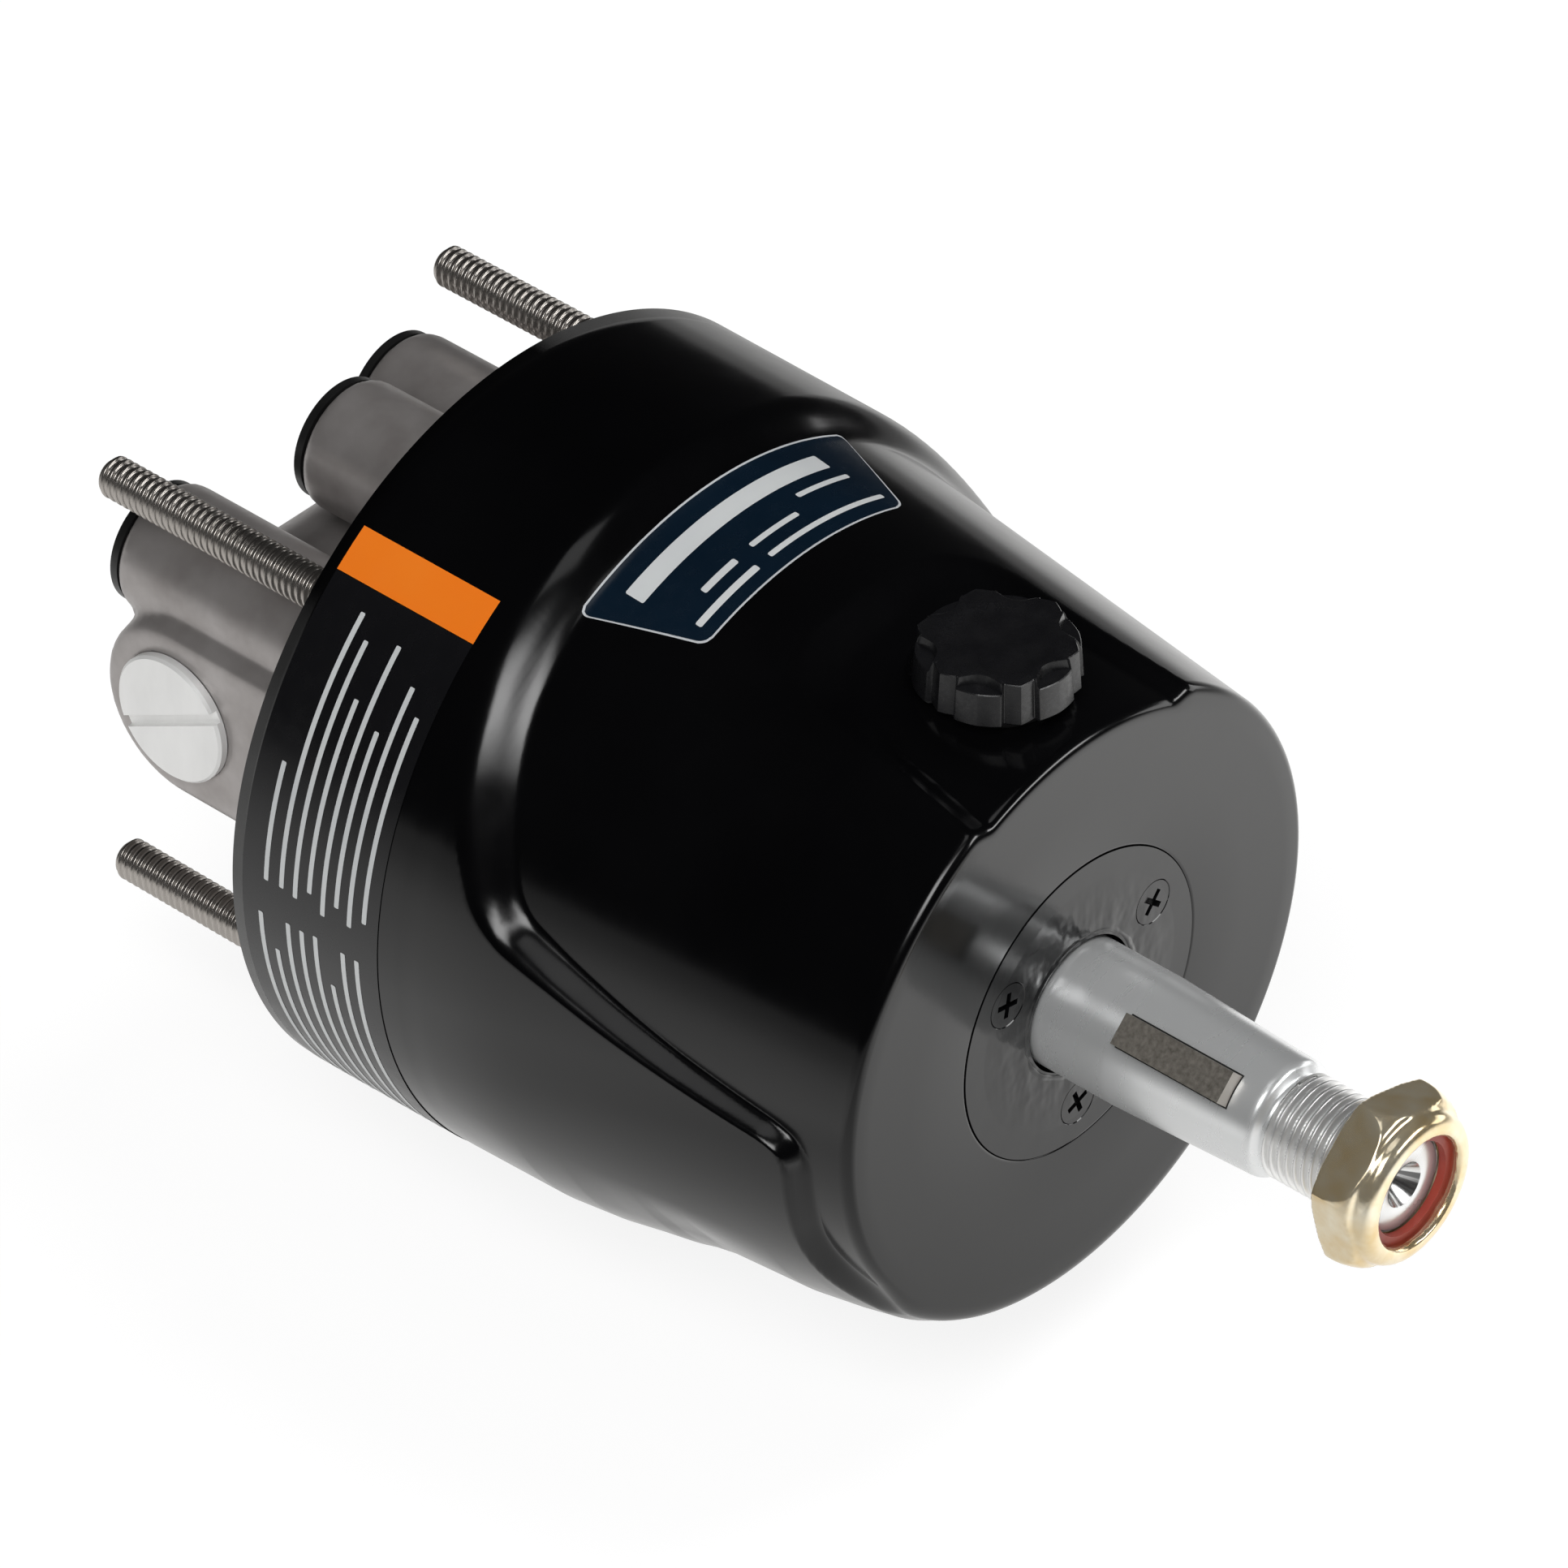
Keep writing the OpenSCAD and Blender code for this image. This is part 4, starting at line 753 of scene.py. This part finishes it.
def cap_skin(material):
    phi = np.arange(0, 360, 0.5)
    half = 180.0 / CAP_PADS
    off = np.abs((phi - PAD_TURN + half) % (2 * half) - half)
    foot = np.interp(off, [0, PAD_HALF, NOTCH_TURN, half], [PAD_R, PAD_R - 0.15, NOTCH_R, RIB_R])
    rim = foot - CAP_DRAFT
    base = CAP_TOP - CAP_H
    share = smooth_step((SHELF_HALF - off) / 1.5)
    bite = SHELF_IN * np.maximum(0, 1 - (off / SHELF_HALF) ** 2)
    edge = CAP_TOP - SHELF_DEPTH * share
    inner = rim - 0.15 - bite
    stem = [(0, base - STEM_LEN), (STEM_R, base - STEM_LEN), (STEM_R, base)]
    side = [(foot - 0.5, base), (foot, base + 0.5), (rim, edge - 0.15), (rim - 0.12, edge)]
    shelf = [(inner + 0.1 * share, edge), (inner - 0.28, CAP_TOP - 0.04), (inner - 0.4, CAP_TOP)]
    dish = [(r, CAP_TOP - DISH_DEPTH * smooth_step((DISH_R - r) / DISH_BLEND))
            for r in (DISH_R, 7.6, 7.0, 6.4, 5.8, 3.0, 0.0)]
    a = np.radians(phi)
    rows = [np.stack([r * np.cos(a), r * np.sin(a) - CAP_S, z + 0 * a], axis=-1)
            for r, z in stem + side + shelf + dish]
    obj = mesh_object("cap_skin", np.concatenate(rows), grid_faces(len(rows), len(phi), True), material)
    obj.data.set_sharp_from_angle(angle=math.radians(CAP_CREASE))
    return obj


cap = cap_skin(cap_black)
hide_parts("filler_cap")
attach(cap, "cap")

# Films laid on the housing

FILM_R = 56.0
FILM_LIFT, BLOCK_LIFT, BORDER_LIFT = 0.14, 0.12, 0.1
BAND_S = (2.0, 27.5)
# Plain bars on the films: distance of the middle, angles of both ends, and on the name film the width
BAND_BARS = [(6.5, 157.4, 175.7), (9.4, 134.3, 175.6), (12.0, 137.4, 176.0), (14.6, 144.9, 174.0),
             (17.2, 135.9, 176.4), (19.7, 147.4, 173.9), (22.2, 139.8, 175.8), (24.9, 143.1, 174.0),
             (5.4, 181.5, 232), (8.0, 187.0, 226), (10.6, 181.0, 231), (13.2, 181.0, 218),
             (15.8, 180.6, 228), (18.4, 188.0, 230), (21.0, 180.8, 224), (23.6, 180.8, 232)]
BAND_BAR_HALF, BAND_BAR_LIFT = 0.42, 0.16
NAME_BARS = [(42.1, 113.5, 72.5, 3.2), (46.3, 83.0, 71.6, 0.9), (49.3, 107.0, 99.7, 1.1),
             (52.3, 112.0, 98.6, 1.1), (49.0, 96.2, 86.0, 0.9), (52.1, 95.8, 70.6, 0.9)]
NAME_BAR_LIFT = 0.18


def film(name, material, s0, s1, left, right, lift, corner=0.0, rows=14, cols=40):
    """A thin film between two distances; left and right give the angle of that edge at each of them."""
    s = np.linspace(s0, s1, rows)
    inset = 0 * s
    if corner:
        near = np.linspace(0, corner, 6)
        s = np.unique(np.concatenate([s, s0 + near, s1 - near]))
        ends = np.minimum(s - s0, s1 - s)
        inset = corner - np.sqrt(np.maximum(0, corner ** 2 - np.maximum(0, corner - ends) ** 2))
    t = np.linspace(0, 1, cols)
    a = np.interp(s, [s0, s1], left)
    b = np.interp(s, [s0, s1], right)
    turn = np.degrees(inset / FILM_R) * np.sign(b - a)
    a, b = a + turn, b - turn
    phi = a[:, None] + (b - a)[:, None] * t[None, :]
    dist = np.repeat(s[:, None], cols, axis=1)
    verts = on_shaft(phi, housing_r(phi, dist) + lift, dist).reshape(-1, 3)
    obj = mesh_object(name, verts, grid_faces(len(s), cols, False), material)
    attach(obj, "housing")
    return obj


film("band_film", film_black, *BAND_S, (131.0, 131.0), (236, 236), BLOCK_LIFT, cols=120)
film("band_block", film_orange, *BAND_S, (124.1, 124.1), (130.9, 130.9), BLOCK_LIFT)
film("name_border", film_pale, 36.9, 55.2, (119.9, 113.9), (61.5, 69.3), BORDER_LIFT, corner=1.5)
film("name_film", film_navy, 37.2, 54.9, (119.6, 113.6), (61.8, 69.6), FILM_LIFT, corner=1.4)
for i, (s, a, b) in enumerate(BAND_BARS):
    film("band_bar_%d" % i, film_white, s - BAND_BAR_HALF, s + BAND_BAR_HALF, (a, a), (b, b), BAND_BAR_LIFT,
         corner=0.2, rows=3, cols=30)
for i, (s, a, b, width) in enumerate(NAME_BARS):
    film("name_bar_%d" % i, film_white, s - width / 2, s + width / 2, (a, a), (b, b), NAME_BAR_LIFT,
         corner=0.3, rows=3, cols=30)

# Stage: pale floor, soft studio light, camera

FLOOR_HALF, FLOOR_Z = 6.0, first_box[0].z - 0.004
# Brightness of the floor for what mirrors it: round the object, far away, and added in front and behind
FLOOR_NEAR, FLOOR_FAR, FLOOR_FRONT, FLOOR_REAR = 0.72, 0.32, 0.95, 0.25
# What the camera sees of it: mostly even white, with a small share that the lamps light and the object shades
FLOOR_SEEN, FLOOR_SHADED = 0.86, 0.25
SKY_RIGHT, SKY_DARK = 0.29, 0.022


def ray_split(tree, other, seen, output):
    """Show one shader to the camera and the other to every other ray."""
    path = tree.nodes.new("ShaderNodeLightPath")
    mix = tree.nodes.new("ShaderNodeMixShader")
    tree.links.new(path.outputs["Is Camera Ray"], mix.inputs[0])
    tree.links.new(other.outputs[0], mix.inputs[1])
    tree.links.new(seen.outputs[0], mix.inputs[2])
    tree.links.new(mix.outputs[0], tree.nodes[output].inputs["Surface"])


def floor_finish():
    mat, tree, shader = new_material("floor_white")
    tree.nodes.remove(shader)
    across = parts_of(tree, coords(tree, turn=(0, 0, math.radians(45))))["X"]
    reach = length_of(tree, coords(tree, scale=(1, 1, 0), shift=(0, 0.06, 0)))
    even = spread(tree, reach, FLOOR_NEAR, FLOOR_FAR, 0.06, 0.5)
    front = spread(tree, across, 0, FLOOR_FRONT, 0.07, 0.22)
    rear = spread(tree, across, FLOOR_REAR, 0, -0.085, -0.045)
    fade = spread(tree, reach, 1, 0, 0.3, 0.9)
    added = joined(tree, "MULTIPLY", joined(tree, "ADD", front, rear), fade)
    glow = tree.nodes.new("ShaderNodeEmission")
    glow.inputs["Color"].default_value = (1, 0.995, 0.985, 1)
    tree.links.new(joined(tree, "ADD", even, added), glow.inputs["Strength"])
    white = tree.nodes.new("ShaderNodeEmission")
    white.inputs["Color"].default_value = (1, 1, 1, 1)
    tree.links.new(spread(tree, reach, FLOOR_SEEN, 1, 0.3, 1.0), white.inputs["Strength"])
    shaded = tree.nodes.new("ShaderNodeBsdfDiffuse")
    shaded.inputs["Color"].default_value = (FLOOR_SHADED, FLOOR_SHADED, FLOOR_SHADED, 1)
    pale = tree.nodes.new("ShaderNodeAddShader")
    tree.links.new(white.outputs[0], pale.inputs[0])
    tree.links.new(shaded.outputs[0], pale.inputs[1])
    ray_split(tree, glow, pale, "Material Output")
    return mat


def studio_world():
    """A dark surround, paler low on the right, that the camera sees as white."""
    world = bpy.data.worlds.new("studio")
    world.use_nodes = True
    tree = world.node_tree
    backdrop = tree.nodes["Background"]
    way = parts_of(tree, tree.nodes.new("ShaderNodeTexCoord").outputs["Generated"])
    low = spread(tree, way["Z"], 1, 0, 0.05, 0.75)
    side = spread(tree, way["X"], 0, SKY_RIGHT, 0, 0.85)
    strength = joined(tree, "ADD", joined(tree, "MULTIPLY", low, side), SKY_DARK)
    tree.links.new(strength, backdrop.inputs["Strength"])
    seen = tree.nodes.new("ShaderNodeBackground")
    seen.inputs["Color"].default_value = (1, 1, 1, 1)
    ray_split(tree, backdrop, seen, "World Output")
    return world


corners = [(x * FLOOR_HALF, y * FLOOR_HALF, FLOOR_Z) for x, y in ((-1, -1), (1, -1), (1, 1), (-1, 1))]
floor = mesh_object("floor", np.array(corners) / MM, [(0, 1, 2, 3)], None, False)
floor.data.materials.append(floor_finish())
bpy.context.scene.world = studio_world()

# Soft boxes: the direction they stand in, seen from the object, their size in metres and their brightness
AIM = Vector((0, -0.06, 0))
CARD_AWAY = 1.5
KEY_WAY, KEY_BRIGHT, KEY_STEP_BACK = (-0.556, -0.348, 0.755), 1.85, 0.01
KEY_SIZES = [(0.36, 0.3), (0.45, 0.42), (0.54, 0.55), (0.63, 0.68)]


def card(name, towards, size, radiance, away=CARD_AWAY, mirrored=True):
    """A soft box of even brightness that faces the object; mirrored says if glossy surfaces show it."""
    light = bpy.data.lights.new(name, "AREA")
    light.shape = "RECTANGLE"
    light.size, light.size_y = size
    light.energy = radiance * math.pi * size[0] * size[1]
    obj = bpy.data.objects.new(name, light)
    bpy.context.scene.collection.objects.link(obj)
    obj.location = AIM + Vector(towards).normalized() * away
    obj.rotation_euler = (AIM - obj.location).to_track_quat("-Z", "Y").to_euler()
    obj.visible_glossy = mirrored
    obj.visible_camera = False
    return obj


card("right_card", (0.94, -0.3, 0.16), (1.0, 0.4), 2.0)
# The key light is four boxes behind one another, so that its mirror image has a soft edge
for i, size in enumerate(KEY_SIZES):
    card("key_card_%d" % i, KEY_WAY, size, KEY_BRIGHT, away=CARD_AWAY + KEY_STEP_BACK * i)
card("front_strip", (0.35, -0.75, 0.56), (1.0, 0.3), 8.0).visible_diffuse = False
card("top_card", (-0.12, -0.1, 0.98), (0.5, 0.5), 0.9)
card("fill_card", (-0.65, -0.35, 0.67), (1.0, 1.0), 2.7, mirrored=False)
card("overhead_fill", (0.45, -0.1, 0.89), (0.8, 0.8), 4.4, mirrored=False)

# Camera: focal length in pixels of the photograph, place, turn about Z, tilt from straight down, and roll
PHOTO_PIXELS, FOCAL_PIXELS, SENSOR = 1932, 14249.94, 36
CAMERA_PLACE = (-945.63, -899.22, 1005.91)
CAMERA_TURN, CAMERA_TILT, CAMERA_ROLL = -48.07204, 51.90989, 0.05824

camera = bpy.data.cameras.new("camera")
camera.sensor_width = SENSOR
camera.lens = FOCAL_PIXELS / PHOTO_PIXELS * SENSOR
camera.clip_end = 20
eye = bpy.data.objects.new("camera", camera)
bpy.context.scene.collection.objects.link(eye)
facing = [Matrix.Rotation(math.radians(angle), 4, axis)
          for angle, axis in ((CAMERA_TURN, "Z"), (CAMERA_TILT, "X"), (CAMERA_ROLL, "Z"))]
eye.matrix_world = Matrix.Translation(Vector(CAMERA_PLACE) * MM) @ facing[0] @ facing[1] @ facing[2]
bpy.context.scene.camera = eye
bpy.context.scene.view_settings.view_transform = "Standard"
